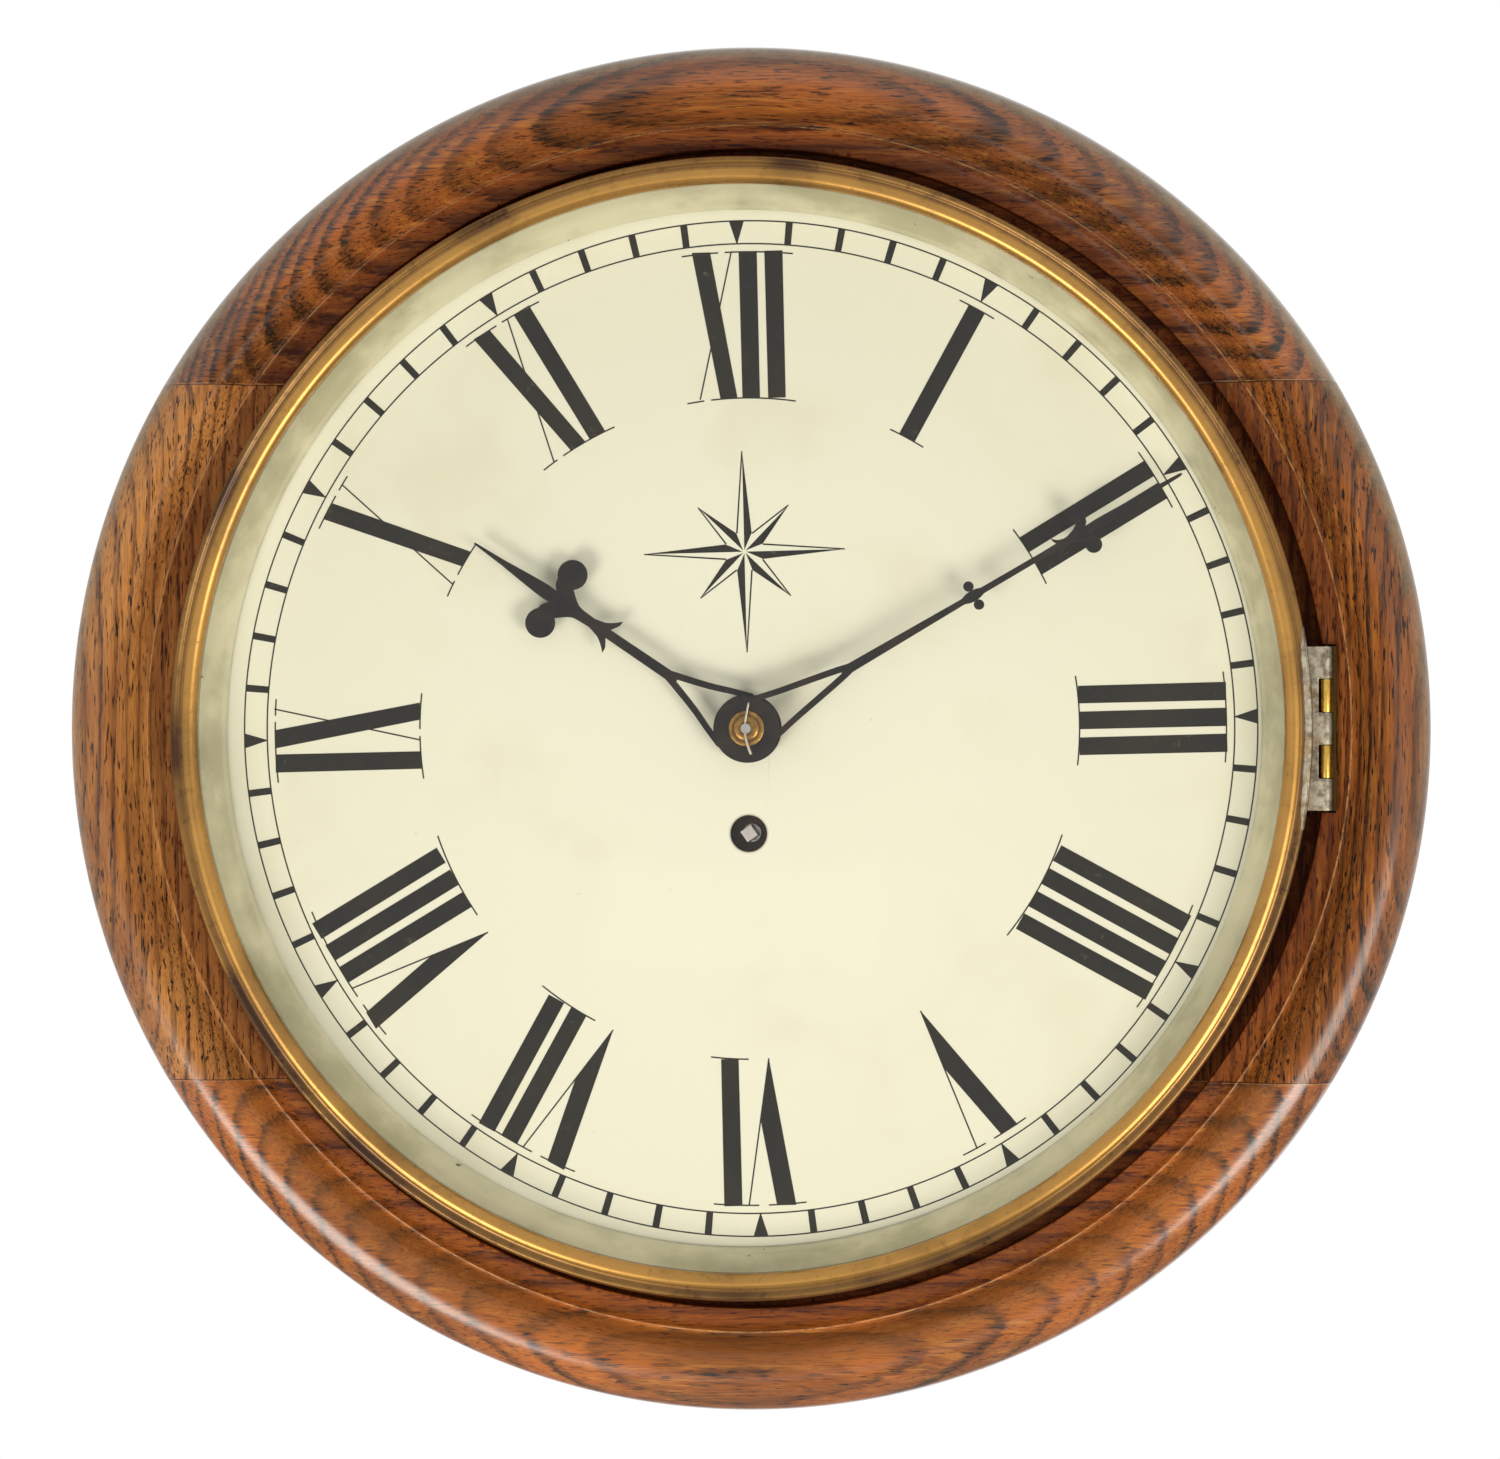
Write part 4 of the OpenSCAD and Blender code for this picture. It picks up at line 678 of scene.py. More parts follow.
def dial_white():
    """Cream oil paint on iron, a little darker at the rim, partly painted shade, with faint stains and a pale
    touched-in patch.
    """
    f = Finish("dial_white")
    r = f.radius()
    x, _, z = f.parts(f.place)
    blotch = f.clouds(16.0, 4.0, 0.6)
    brush = f.clouds(240.0, 3.0, 0.6, at=f.moved(f.place, scale=(0.35, 1.0, 1.0)))
    # Darker towards the rim: partly yellowed paint and partly painted shade under the bezel and sight ring.
    f.base(f.step(r, 60.0, 172.0), (243, 238, 216), (238, 233, 210))
    f.lay((214, 200, 160), f.step(blotch, 0.5, 0.74), 0.26)
    wobble = f.times(f.math("SUBTRACT", f.clouds(45.0, 2.0), 0.5), 0.02)
    across = f.band(f.math("ADD", x, wobble), -0.003, 0.043, 0.007)
    down = f.band(f.math("ADD", z, wobble), -0.061, 0.013, 0.007)
    f.lay((246, 242, 220), across, down, 0.4)
    specks = f.step(f.clouds(560.0, 2.0, 0.75), 0.73, 0.77)
    f.lay((150, 134, 98), specks, 0.35)
    worn_hole = f.step(f.radius(0.0, WIND_UP), 6.1, 6.8, 0.5, 0.0)
    f.lay((120, 92, 62), worn_hole)
    f.give(Base_Color=f.colour, Roughness=f.plus(brush, 0.16, 0.36))
    f.relief(f.plus(blotch, 0.5, f.times(brush, 0.5)), 0.05, 0.35)
    return f.material


def dial_black():
    """Old black paint, worn thin in places."""
    f = Finish("dial_black")
    wear = f.clouds(300.0, 4.0, 0.7)
    broad = f.clouds(30.0, 2.0)
    f.base(f.step(broad, 0.4, 0.7), (27, 22, 14), (38, 32, 20))
    f.lay((150, 142, 116), f.step(wear, 0.62, 0.8), 0.35)
    f.give(Base_Color=f.colour, Roughness=f.plus(wear, 0.2, 0.42), Specular_IOR_Level=0.12)
    f.relief(wear, 0.02, 0.4)
    return f.material


def hand_steel():
    """Hands of blackened steel with brown patches."""
    f = Finish("hand_steel")
    patch = f.clouds(60.0, 4.0, 0.6)
    grit = f.clouds(1100.0, 3.0, 0.7)
    f.base(f.step(patch, 0.4, 0.7), (24, 20, 17), (46, 35, 27))
    f.lay((84, 66, 50), f.step(grit, 0.58, 0.72), 0.35)
    f.give(Base_Color=f.colour, Metallic=0.35, Specular_IOR_Level=0.15, Roughness=f.plus(grit, 0.24, 0.3))
    f.relief(grit, 0.03, 0.5)
    return f.material


def hinge_solder():
    """Mottled grey solder with yellow and brown stains."""
    f = Finish("hinge_solder")
    mottle = f.clouds(380.0, 4.0, 0.65)
    blot = f.clouds(130.0, 3.0, 0.6)
    f.base(f.step(mottle, 0.36, 0.66), (172, 164, 144), (112, 100, 84))
    f.lay((140, 108, 62), f.step(blot, 0.5, 0.68), 0.6)
    f.give(Base_Color=f.colour, Metallic=0.7, Roughness=f.plus(mottle, 0.25, 0.38))
    f.relief(f.plus(blot, 1.0, mottle), 0.25, 0.7)
    return f.material


def clear_glass():
    """Flat glass: it lets light straight through and mirrors a little of the room."""
    f = Finish("clear_glass")
    clear = f.add("ShaderNodeBsdfTransparent", {"Color": (0.985, 0.992, 0.985, 1.0)})
    slant = f.add("ShaderNodeLayerWeight", {"Blend": 0.5}).outputs["Facing"]
    share = f.plus(f.math("POWER", slant, 4.0), 0.5, 0.016)
    either = f.add("ShaderNodeMixShader", {0: share, 1: clear.outputs[0], 2: f.shader.outputs[0]})
    f.join(either.outputs[0], f.output.inputs["Surface"])
    f.give(Base_Color=WHITE, Metallic=1.0, Roughness=0.03)
    return f.material


def gut():
    """A gut line, with its twist."""
    f = Finish("gut")
    x, y, z = f.parts(f.place)
    twist = f.math("SINE", f.times(f.math("ADD", y, f.math("ADD", x, z)), 7000.0))
    f.base(f.step(twist, -1.0, 1.0), (196, 160, 104), (140, 104, 62))
    f.give(Base_Color=f.colour, Roughness=0.45, Coat_Weight=0.4, Coat_Roughness=0.3)
    f.relief(twist, 0.08, 0.6)
    return f.material


CASE_OAK = dict(light=(136, 78, 42), dark=(60, 34, 20), mellow=(118, 66, 36), ring=2.6)
OAKS = {
    # oak_top's shades are partly the top board's own tone and partly darkened as painted shade.
    "oak_top": dict(along="x", pith=(0, 0, 0), ring=8.4, light=(172, 96, 42), dark=(34, 24, 16),
                    mellow=(130, 73, 34), line=0.44, pore=0.7, polish=0.9, moulded=True,
                    figure=(1, 8, 206.6, 0.0675)),
    "oak_bottom": dict(along="x", pith=(60, 0, 0), ring=8.8, light=(184, 101, 33), dark=(48, 29, 17),
                       mellow=(140, 77, 27), line=0.3, polish=0.9, moulded=True, figure=(-1, 3, 208, 0.051)),
    "oak_left": dict(along="z", pith=(-40, -60, 0), ring=4.4, light=(196, 132, 70), dark=(80, 48, 28),
                     mellow=(156, 97, 49), line=0.28, pore=0.9, polish=0.55, moulded=True),
    "oak_right": dict(along="z", pith=(30, -40, 0), ring=4.6, light=(162, 93, 39), dark=(45, 28, 17),
                      mellow=(125, 70, 31), line=0.32, pore=1.0, polish=0.5, moulded=True),
    "case_oak": dict(along="z", pith=(30, 190, 0), **CASE_OAK),
    "case_oak_across": dict(along="x", pith=(0, -190, 260), **CASE_OAK),
    "peg_oak": dict(along="x", pith=(0, 20, 10), ring=1.6, light=(168, 116, 68), dark=(96, 58, 32),
                    mellow=(150, 100, 60)),
}

MOVEMENT_BRASS = dict(bright=(216, 176, 100), dull=(166, 124, 66), spots=0.35)
METALS = {
    "hinge_brass": dict(bright=(214, 178, 84), dull=(150, 116, 56), spots=0.6, blackened_beyond=HINGE_X + 1.9),
    "hinge_steel": dict(bright=(176, 172, 164), dull=(120, 108, 94)),
    "collet_brass": dict(bright=(186, 142, 66), dull=(108, 76, 38), rough=(0.2, 0.34), spots=0.6,
                         turned_about=0.0),
    "pin_steel": dict(bright=(216, 206, 188), dull=(168, 150, 128), rough=(0.22, 0.36), spots=0.3),
    "movement_brass": MOVEMENT_BRASS,
    "winding_brass": dict(core=(WIND_UP, 3.2, (204, 192, 186)), **MOVEMENT_BRASS),
    "arbor_brass": dict(core=(0, 2.6, (190, 186, 182)), **MOVEMENT_BRASS),
    # Its core is painted shade: the front plate darkened where it shows through the dial's winding hole.
    "plate_front_brass_hole_shade": dict(core=(WIND_UP, 9.0, (66, 48, 32)), **MOVEMENT_BRASS),
    "bright_steel": dict(bright=(188, 188, 190), dull=(134, 130, 126), rough=(0.2, 0.36), spots=0.3),
    "spring_steel": dict(bright=(92, 94, 104), dull=(64, 60, 62), rough=(0.24, 0.4), spots=0.3),
    "bob_brass": dict(bright=(218, 178, 104), dull=(160, 116, 62), rough=(0.18, 0.38), spots=0.4),
    "plate_brass": dict(bright=(206, 164, 92), dull=(142, 104, 58), rough=(0.24, 0.46), spots=0.6),
    "screw_brass": dict(bright=(214, 170, 96), dull=(150, 108, 58)),
    "iron_screws": dict(bright=(110, 98, 88), dull=(70, 54, 44), rough=(0.35, 0.55), grime=(96, 52, 28),
                        spots=0.8),
}

FINISHES = {
    "bezel_brass": bezel_brass(),
    "silvered": silvered(),
    "clear_glass": clear_glass(),
    "dial_white": dial_white(),
    "dial_black": dial_black(),
    "hand_steel": hand_steel(),
    "hinge_solder": hinge_solder(),
    "gut": gut(),
}
FINISHES.update({name: oak(name, **looks) for name, looks in OAKS.items()})
FINISHES.update({name: aged_metal(name, **looks) for name, looks in METALS.items()})


def dress(piece, finish):
    """Gives a piece one finish all over."""
    piece.data.materials.clear()
    piece.data.materials.append(FINISHES[finish])
    return piece


def stands_for(piece, node, finish=None):
    """Puts a piece in a CAD node's place, in the finish of the node's slot where no other is given."""
    dress(piece, finish or slot_of[node])
    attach(piece, body_of[node])
    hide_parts(node)


# Pieces

def surround_profile():
    """The surround's section: back, recess, eased edge, sloping flat, arris, moulding and outer edge."""
    return (
        [(INNER_R, BOX_DEPTH), (INNER_R, SEAT), (RECESS_R, SEAT), (RECESS_R, FLAT_DEPTH - 0.5)]
        + arc(RECESS_R + 0.5, FLAT_DEPTH - 0.5, 0.5, 0.5, 180, 100, 3)
        + [(RECESS_R + 2.5, FLAT_DEPTH - 0.15), (RECESS_R + 5.0, FLAT_DEPTH + 0.6)]
        + [(ARRIS_R - 1.2, FLAT_DEPTH + 1.45)]
        + arc(ARRIS_R - 0.3, ARRIS_DEPTH - 0.3, 0.3, 0.3, 130, -20, 4)
        + smooth_line([(ARRIS_R + r, ARRIS_DEPTH + d) for r, d in MOULDING], 7)
        + [(CASE_R, BOX_DEPTH + CORNER_R)]
        + arc(CASE_R - CORNER_R, BOX_DEPTH + CORNER_R, CORNER_R, CORNER_R, 0, -90, 4)
    )


def surround_board(name, cuts):
    """One board of the surround: the turned ring, cut at its joints, whose edges are eased a little."""
    bm = turned(surround_profile(), 512)
    for axis, value, above in cuts:
        keep_side(bm, axis, value, above)
    rim = [e for e in bm.edges if len(e.link_faces) == 2 and e.calc_face_angle(0) > 0.5
           and sum(abs(f.normal.z) > 0.999 for f in e.link_faces) == 1]
    bmesh.ops.bevel(bm, geom=rim, offset=JOINT_EASE * MM, segments=1, affect="EDGES", clamp_overlap=True)
    return made(name, bm, 40)


def let_in_hinge(board):
    """Cuts the notch that the case's hinge leaf and the knuckles lie in."""
    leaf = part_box("case_hinge_leaf")
    notch_wall = leaf[1].x / MM + LEAF_GAP
    notch_floor = -leaf[1].y / MM - LEAF_GAP
    up = (-HINGE_HALF - NOTCH_GAP, HINGE_HALF + NOTCH_GAP)
    cut_box(board, (RECESS_R - 4, notch_wall), up, (notch_floor, BEZEL_FRONT))


def let_in_tongue(board):
    """Cuts the room that the bezel's sprung tongue goes into."""
    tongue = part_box("bezel_tongue")
    x = (tongue[0].x / MM - NOTCH_GAP, tongue[1].x / MM + NOTCH_GAP)
    up = (-TONGUE_ROOM_HALF, TONGUE_ROOM_HALF)
    cut_box(board, x, up, (-tongue[1].y / MM - 2, SEAT + 1))


def surround():
    between = [("z", UPPER_JOINT, False), ("z", LOWER_JOINT, True)]
    cuts_of = {
        "top": [("z", UPPER_JOINT, True)],
        "bottom": [("z", LOWER_JOINT, False)],
        "left": between + [("x", -BOARD_EDGE, False)],
        "right": between + [("x", BOARD_EDGE, True)],
    }
    boards = {side: surround_board(side + "_board", cuts) for side, cuts in cuts_of.items()}
    let_in_hinge(boards["right"])
    let_in_tongue(boards["left"])
    for side, board in boards.items():
        stands_for(board, "surround_" + side, "oak_" + side)


def bezel():
    """A turned brass ring: a skirt round the glass and sight ring, and two beads with a hollow between."""
    profile = (
        [(BEZEL_R - SKIRT_T, BEZEL_BACK), (BEZEL_R, BEZEL_BACK)]
        + smooth_line([(BEZEL_IN_R + r, BEZEL_FRONT + d) for r, d in BEADS], 4)
        + [(BEZEL_IN_R, GLASS_FRONT + 0.1), (BEZEL_R - SKIRT_T, GLASS_FRONT + 0.1)]
    )
    stands_for(made("bezel", turned(profile, 480, BEZEL_X), 50), "bezel_ring")


def glass():
    """A flat pane with its edge ground round."""
    left, right = span_x("glass")
    pane_r = (right - left) / 2
    profile = [
        (0, GLASS_BACK),
        (pane_r - GLASS_EASE, GLASS_BACK),
        (pane_r, GLASS_BACK + GLASS_EASE),
        (pane_r, GLASS_FRONT - GLASS_EASE),
        (pane_r - GLASS_EASE, GLASS_FRONT),
        (0, GLASS_FRONT),
    ]
    stands_for(made("flat_pane", turned(profile, 240, BEZEL_X), 20), "glass")


def sight_ring():
    """A sloping ring with a round inner lip, held by its flat outer rim behind the glass."""
    back = DIAL_FACE + 0.5
    rim_r = BEZEL_R - SKIRT_T - 0.1
    rim_back = GLASS_BACK - SIGHT_T
    profile = (
        arc(SIGHT_R + SIGHT_LIP_R, back + SIGHT_LIP_R, SIGHT_LIP_R, SIGHT_LIP_R, 270, 120, 6)
        + [(BEZEL_IN_R - 0.9, GLASS_BACK - 1.5), (BEZEL_IN_R - 0.2, GLASS_BACK), (rim_r, GLASS_BACK)]
        + [(rim_r, rim_back), (BEZEL_IN_R + 0.5, rim_back)]
    )
    stands_for(made("sight_ring_silvered", turned(profile, 360, BEZEL_X), 40), "sight_ring")


# Dial

# Each letter from its own left edge: lines of (millimetres, share of the height), and the spans of its serifs
LETTERS = {
    "I": dict(strokes=[[(0, 1), (5.95, 1), (5.85, 0), (0.1, 0)]], hairlines=[],
              outer=[(-3.4, 9.4)], inner=[(-3.2, 9.2)], width=5.95),
    "V": dict(strokes=[[(0, 1), (6.3, 1), (11.1, 0.41), (7.85, 0)]], hairlines=[[(7.85, 0), (15.5, 1)]],
              outer=[(-3.4, 9.0), (12.2, 20.5)], inner=[], width=15.7),
    "X": dict(strokes=[[(0, 1), (6.0, 1), (13.9, 0), (8.3, 0)]], hairlines=[[(1.6, 0), (12.96, 1)]],
              outer=[(-3.4, 8.7), (10.8, 16.2)], inner=[(-2.7, 2.9), (5.2, 17.0)], width=13.4),
}
WORDS = ["I", "II", "III", "IIII", "V", "VI", "VII", "VIII", "IX", "X", "XI", "XII"]


def placed(line, u):
    """A letter's line with the letter's left edge at u."""
    return [(u + x, LETTER_IN_R + share * (LETTER_OUT_R - LETTER_IN_R)) for x, share in line]


def word_shapes(word):
    """A numeral's flat shapes, serif spans and width, with its letters side by side from u = 0."""
    shapes, outer, inner, u = [], [], [], 0.0
    for i, name in enumerate(word):
        letter = LETTERS[name]
        shapes += [placed(line, u) for line in letter["strokes"]]
        shapes += [strip(placed(line, u), (HAIRLINE, HAIRLINE)) for line in letter["hairlines"]]
        outer += [(u + low, u + high) for low, high in letter["outer"]]
        inner += [(u + low, u + high) for low, high in letter["inner"]]
        gap = 2.5 if word[i:i + 2] == "II" else 2.0
        u += letter["width"] + gap
    return shapes, merged_spans(outer), merged_spans(inner), u - gap


def merged_spans(spans):
    """The spans with those that touch or nearly touch made one."""
    joined = []
    for low, high in sorted(spans):
        if joined and low <= joined[-1][1] + 0.3:
            joined[-1][1] = max(high, joined[-1][1])
        else:
            joined.append([low, high])
    return joined


def serif_arc(radius, low, high):
    """A hairline along a circle of the dial, in a numeral's own upright plane."""
    half = HAIRLINE / 2
    turns = [90 - math.degrees((low + (high - low) * i / 12) / radius) for i in range(13)]
    return [polar(radius + half, t) for t in turns] + [polar(radius - half, t) for t in reversed(turns)]


def painted(bm, shapes, thickness=PAINT_T, place=on_dial, holes=()):
    """Adds paint on the dial."""
    plate_mesh(bm, shapes, DIAL_FACE, DIAL_FACE + thickness, place, holes)


def numerals():
    bm = bmesh.new()
    for hour, word in enumerate(WORDS, 1):
        shapes, outer, inner, width = word_shapes(word)
        middle = width / 2
        shapes = [[(u - middle, v) for u, v in shape] for shape in shapes]
        shapes += [serif_arc(LETTER_OUT_R - 0.1, a - middle, b - middle) for a, b in outer]
        shapes += [serif_arc(LETTER_IN_R + 0.2, a - middle, b - middle) for a, b in inner]
        turn = rotation(-30 * hour)
        painted(bm, shapes, place=lambda u, v, turn=turn: on_dial(*turn(u, v)))
    return made("numerals", bm)


def track_circles():
    bm = bmesh.new()
    for radius in (TRACK_OUT_R, TRACK_IN_R):
        painted(bm, [circle(radius, 360)], PAINT_T * 0.9, holes=[circle(radius - HAIRLINE, 360)])
    return made("minute_circles", bm)


def star():
    """A plain compass star: one half of each point dark and the other outlined."""
    bm = bmesh.new()
    shapes = []
    waist_x, waist_y = polar(STAR_WAIST, 22.5)
    for k in range(8):
        reach = STAR_REACH if k % 2 == 0 else STAR_SHORT_REACH
        turn = rotation(45 * k)
        dark_half = [(0.6, 0), (waist_x, -waist_y), (reach, 0)]
        outline = strip([(waist_x, waist_y - 0.2), (reach, 0.05)], (0.5, 0.4))
        shapes += [[turn(u, v) for u, v in shape] for shape in (dark_half, outline)]
    painted(bm, shapes, PAINT_T * 0.8, lambda u, v: on_dial(u + STAR_AT[0], v + STAR_AT[1]))
    return made("compass_star", bm)


def ring_of_stamps():
    """A Geometry Nodes tree that stands a stamp at every chosen step round a circle."""
    group = bpy.data.node_groups.new("ring_of_stamps", "GeometryNodeTree")
    inputs = {"Stamp": "Object", "Count": "Int", "Every": "Int", "Skip every": "Int", "Finish": "Material"}
    group.interface.new_socket("Geometry", in_out="OUTPUT", socket_type="NodeSocketGeometry")
    for label, kind in inputs.items():
        group.interface.new_socket(label, in_out="INPUT", socket_type="NodeSocket" + kind)
    t = Tree(group)
    given = t.add("NodeGroupInput").outputs
    points = t.add("GeometryNodeMeshLine", {"Count": given["Count"], "Offset": (0, 0, 0)})
    stamp = t.add("GeometryNodeObjectInfo", {"Object": given["Stamp"]})
    index = t.add("GeometryNodeInputIndex").outputs[0]
    share = t.math("DIVIDE", index, given["Count"])
    turn = t.add("ShaderNodeCombineXYZ", {"Y": t.math("MULTIPLY", share, 2 * math.pi)})
    wanted = t.math("LESS_THAN", t.math("MODULO", index, given["Every"]), 0.5)
    unwanted = t.math("LESS_THAN", t.math("MODULO", index, given["Skip every"]), 0.5)
    unwanted = t.math("MULTIPLY", unwanted, t.math("GREATER_THAN", given["Skip every"], 0.5))
    stand = t.add("GeometryNodeInstanceOnPoints", {
        "Points": points.outputs[0],
        "Selection": t.math("MULTIPLY", wanted, t.math("SUBTRACT", 1.0, unwanted)),
        "Instance": stamp.outputs["Geometry"],
        "Rotation": turn.outputs[0],
    })
    real = t.add("GeometryNodeRealizeInstances", {0: stand.outputs[0]})
    coat = t.add("GeometryNodeSetMaterial", {"Geometry": real.outputs[0], "Material": given["Finish"]})
    t.add("NodeGroupOutput", {0: coat.outputs[0]})
    return group


STAMP_RING = ring_of_stamps()


def stamped(name, shape, every, skip):
    """A mark drawn at twelve o'clock, repeated round the minute track."""
    bm = bmesh.new()
    painted(bm, [shape])
    stamp = made(name + "_stamp", bm)
    carrier = new_object(name, bpy.data.meshes.new(name))
    ring = carrier.modifiers.new("ring", "NODES")
    ring.node_group = STAMP_RING
    paint = FINISHES["dial_black"]
    given = {"Stamp": stamp, "Count": 60, "Every": every, "Skip every": skip, "Finish": paint}
    for socket in STAMP_RING.interface.items_tree:
        if socket.in_out == "INPUT":
            ring[socket.identifier] = given[socket.name]
    applied(carrier)
    bpy.data.objects.remove(stamp)
    return carrier


def dial():
    stands_for(softened("dial_plate", 0.2), "dial_plate")
    tick = [(-1.1, TRACK_IN_R), (1.1, TRACK_IN_R), (1.15, TRACK_OUT_R - 0.2), (-1.15, TRACK_OUT_R - 0.2)]
    dart = [(0, TRACK_IN_R - 0.6), (2.5, TRACK_OUT_R - 0.1), (-2.5, TRACK_OUT_R - 0.1)]
    marks = [numerals(), track_circles(), star()]
    marks += [stamped("minute_ticks", tick, 1, 5), stamped("hour_darts", dart, 5, 0)]
    for mark in marks:
        stands_for(mark, "dial_markings")


# Hands

def flipped(shape):
    """The shape on the other side of the hand's middle line."""
    return [(u, -v) for u, v in shape]


def mirrored(points):
    """The outline that a line of points makes with its mirror image."""
    return points + flipped(reversed(points))


def hand(name, shapes, both, bore, angle, back, front):
    """A hand cut from flat steel, its edges filed round. The shapes in both stand on either side."""
    bm = bmesh.new()
    every = shapes + both + [flipped(shape) for shape in both]
    plate_mesh(bm, every, back, front, rotation(angle), [circle(bore, 48)])
    join_flats(bm)
    return eased(made(name, bm), HAND_EASE, 2, 50, 30)


def hour_hand():
    """Drawn outwards from the arbor: boss and spine, with an arm, a barb and a ball on each side."""
    arm = smooth_line([(31.0, 0.6), (26.0, 2.1), (18.0, 4.6), (11.0, 7.3), (4.5, 9.6)], 5)
    widths = [2.3 - 0.4 * i / len(arm) for i in range(len(arm))]
    flare = smooth_line([(55.3, 1.55), (62.6, 1.7), (67.2, 2.0), (69.4, 2.9), (72.2, 5.1), (74.0, 6.6)], 4)
    spine = mirrored([(28.0, 0.7), (29.8, 1.7), (40.0, 1.65), (55.3, 1.55)]
                     + flare[1:]
                     + smooth_line([(79.2, 7.0), (78.8, 4.2), (77.2, 2.2)], 4)
                     + [(80.0, 2.35), (83.0, 2.2), (89.0, 1.7), (97.0, 0.95), (108.4, 0.3)])
    barb = ([(61.5, 0.8), (61.5, 1.7)]
            + smooth_line([(57.9, 2.6), (55.6, 4.1), (53.4, 6.1)], 4)
            + smooth_line([(53.6, 4.2), (54.6, 2.6), (55.5, 1.2)], 4))
    ball = circle(4.9, 40, 75.8, 9.5)
    return hand("hour_hand_steel", [circle(HOUR_BOSS_R, 96), spine], [strip(arm, widths), barb, ball],
                HOUR_BORE, HOUR_ANGLE, HOUR_BACK, HOUR_FRONT)


def minute_hand():
    """The minute hand, drawn in the same way, with a small ball and a larger one on each side."""
    arm = smooth_line([(39.0, 0.5), (34.0, 1.7), (24.0, 3.6), (15.0, 5.3), (8.0, 6.9)], 5)
    widths = [2.2 - 0.3 * i / len(arm) for i in range(len(arm))]
    spine = mirrored([(36.0, 0.6), (38.0, 1.6), (40.0, 1.55), (60.0, 1.3), (82.0, 1.0)]
                     + smooth_line([(82.0, 1.0), (84.2, 1.7), (87.0, 1.7), (89.2, 1.05)], 4)[1:]
                     + [(112.0, 0.95), (119.5, 1.1)]
                     + smooth_line([(122.0, 1.3), (124.6, 2.2), (126.6, 3.6)], 4)
                     + smooth_line([(130.2, 3.8), (129.6, 2.2), (128.6, 1.2)], 4)
                     + [(133.0, 1.4), (145.0, 1.1), (157.0, 0.75), (163.6, 0.5), (164.4, 0.2)])
    barb = ([(120.5, 0.6), (120.5, 1.2)]
            + smooth_line([(119.0, 1.6), (117.9, 2.3), (116.9, 3.35)], 3)
            + smooth_line([(116.9, 2.4), (117.3, 1.5), (117.9, 0.8)], 3))
    balls = [circle(1.7, 24, 85.9, 3.4), circle(2.75, 32, 128.0, 5.4)]
    return hand("minute_hand_steel", [circle(MINUTE_BOSS_R, 96), spine], [strip(arm, widths), barb] + balls,
                MINUTE_BORE, MINUTE_ANGLE, MINUTE_BACK, MINUTE_FRONT)


def collet():
    """The domed brass collet that presses on the minute hand."""
    back, front = COLLET_BACK, COLLET_FRONT
    profile = ([(COLLET_BORE, back), (5.5, back)] + arc(5.4, back + 0.45, 0.5, 0.45, -80, 80, 6)
               + [(4.75, back + 0.9), (4.6, back + 0.6), (4.4, back + 0.6)]
               + arc(2.5, back + 0.7, 1.8, front - back - 0.8, 8, 84, 10)
               + [(2.35, front - 0.1), (2.2, front - 0.45), (COLLET_BORE, front - 0.45)])
    return made("domed_collet", turned(profile, 96), 45)


def bent_pin():
    """A thin taper pin through the arbor, bowed to the left in the middle."""
    low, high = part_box("hand_pin")
    depth = -(low.y + high.y) / 2 / MM
    half = (high.z - low.z) / 2 / MM
    bow = [(0.9, 1.0), (0.25, 0.6), (-0.25, 0.25), (-0.35, -0.05), (0.0, -0.4), (0.9, -0.75), (1.7, -1.0)]
    path = smooth_line([(x, h * half) for x, h in bow], 5)
    radii = [(0.42 + 0.12 * i / len(path)) * MM for i in range(len(path))]
    radii[0] = radii[-1] = 0.3 * MM
    return swept("bent_taper_pin", [spot(x, up, depth) for x, up in path], radii, 14)


def hands():
    stands_for(hour_hand(), "hour_hand")
    stands_for(minute_hand(), "minute_hand")
    stands_for(collet(), "hand_collet")
    stands_for(bent_pin(), "hand_pin")


# Hinge

def solder_point(along, across):
    """A place on the solder: along runs from -1 to 1 up the bezel, across from 0 to 1 over its outer bead."""
    end_fade = max(0.0, 1 - abs(along) ** 6)
    flare = 2.6 * abs(along) ** 3
    inner_r = BEZEL_R - 3.2 + flare + 0.5 * noise.noise(Vector((along * 9, 0, 3)))
    r = inner_r + (BEZEL_R + 0.12 - inner_r) * across
    bead = max(0.0, 1 - ((r - OUTER_BEAD_R) / OUTER_BEAD_HALF) ** 2) ** 0.5 * OUTER_BEAD_HIGH
    lump = 0.32 + 0.22 * noise.noise(Vector((along * 14, across * 5, 1)))
    if across < 0.8:
        lump *= end_fade * math.sin(math.pi * min(1.0, across * 1.2 + 0.02)) ** 0.5
    else:
        lump *= end_fade
    drop = 0.6 if across == 1 else 0
    depth = BEZEL_FRONT - OUTER_BEAD_HIGH + bead + max(0.02, lump) - drop
    x, up = polar(r, math.degrees(along * SOLDER_HALF / BEZEL_R))
    return BEZEL_X + x, up, min(depth, BEZEL_FRONT + 0.1)


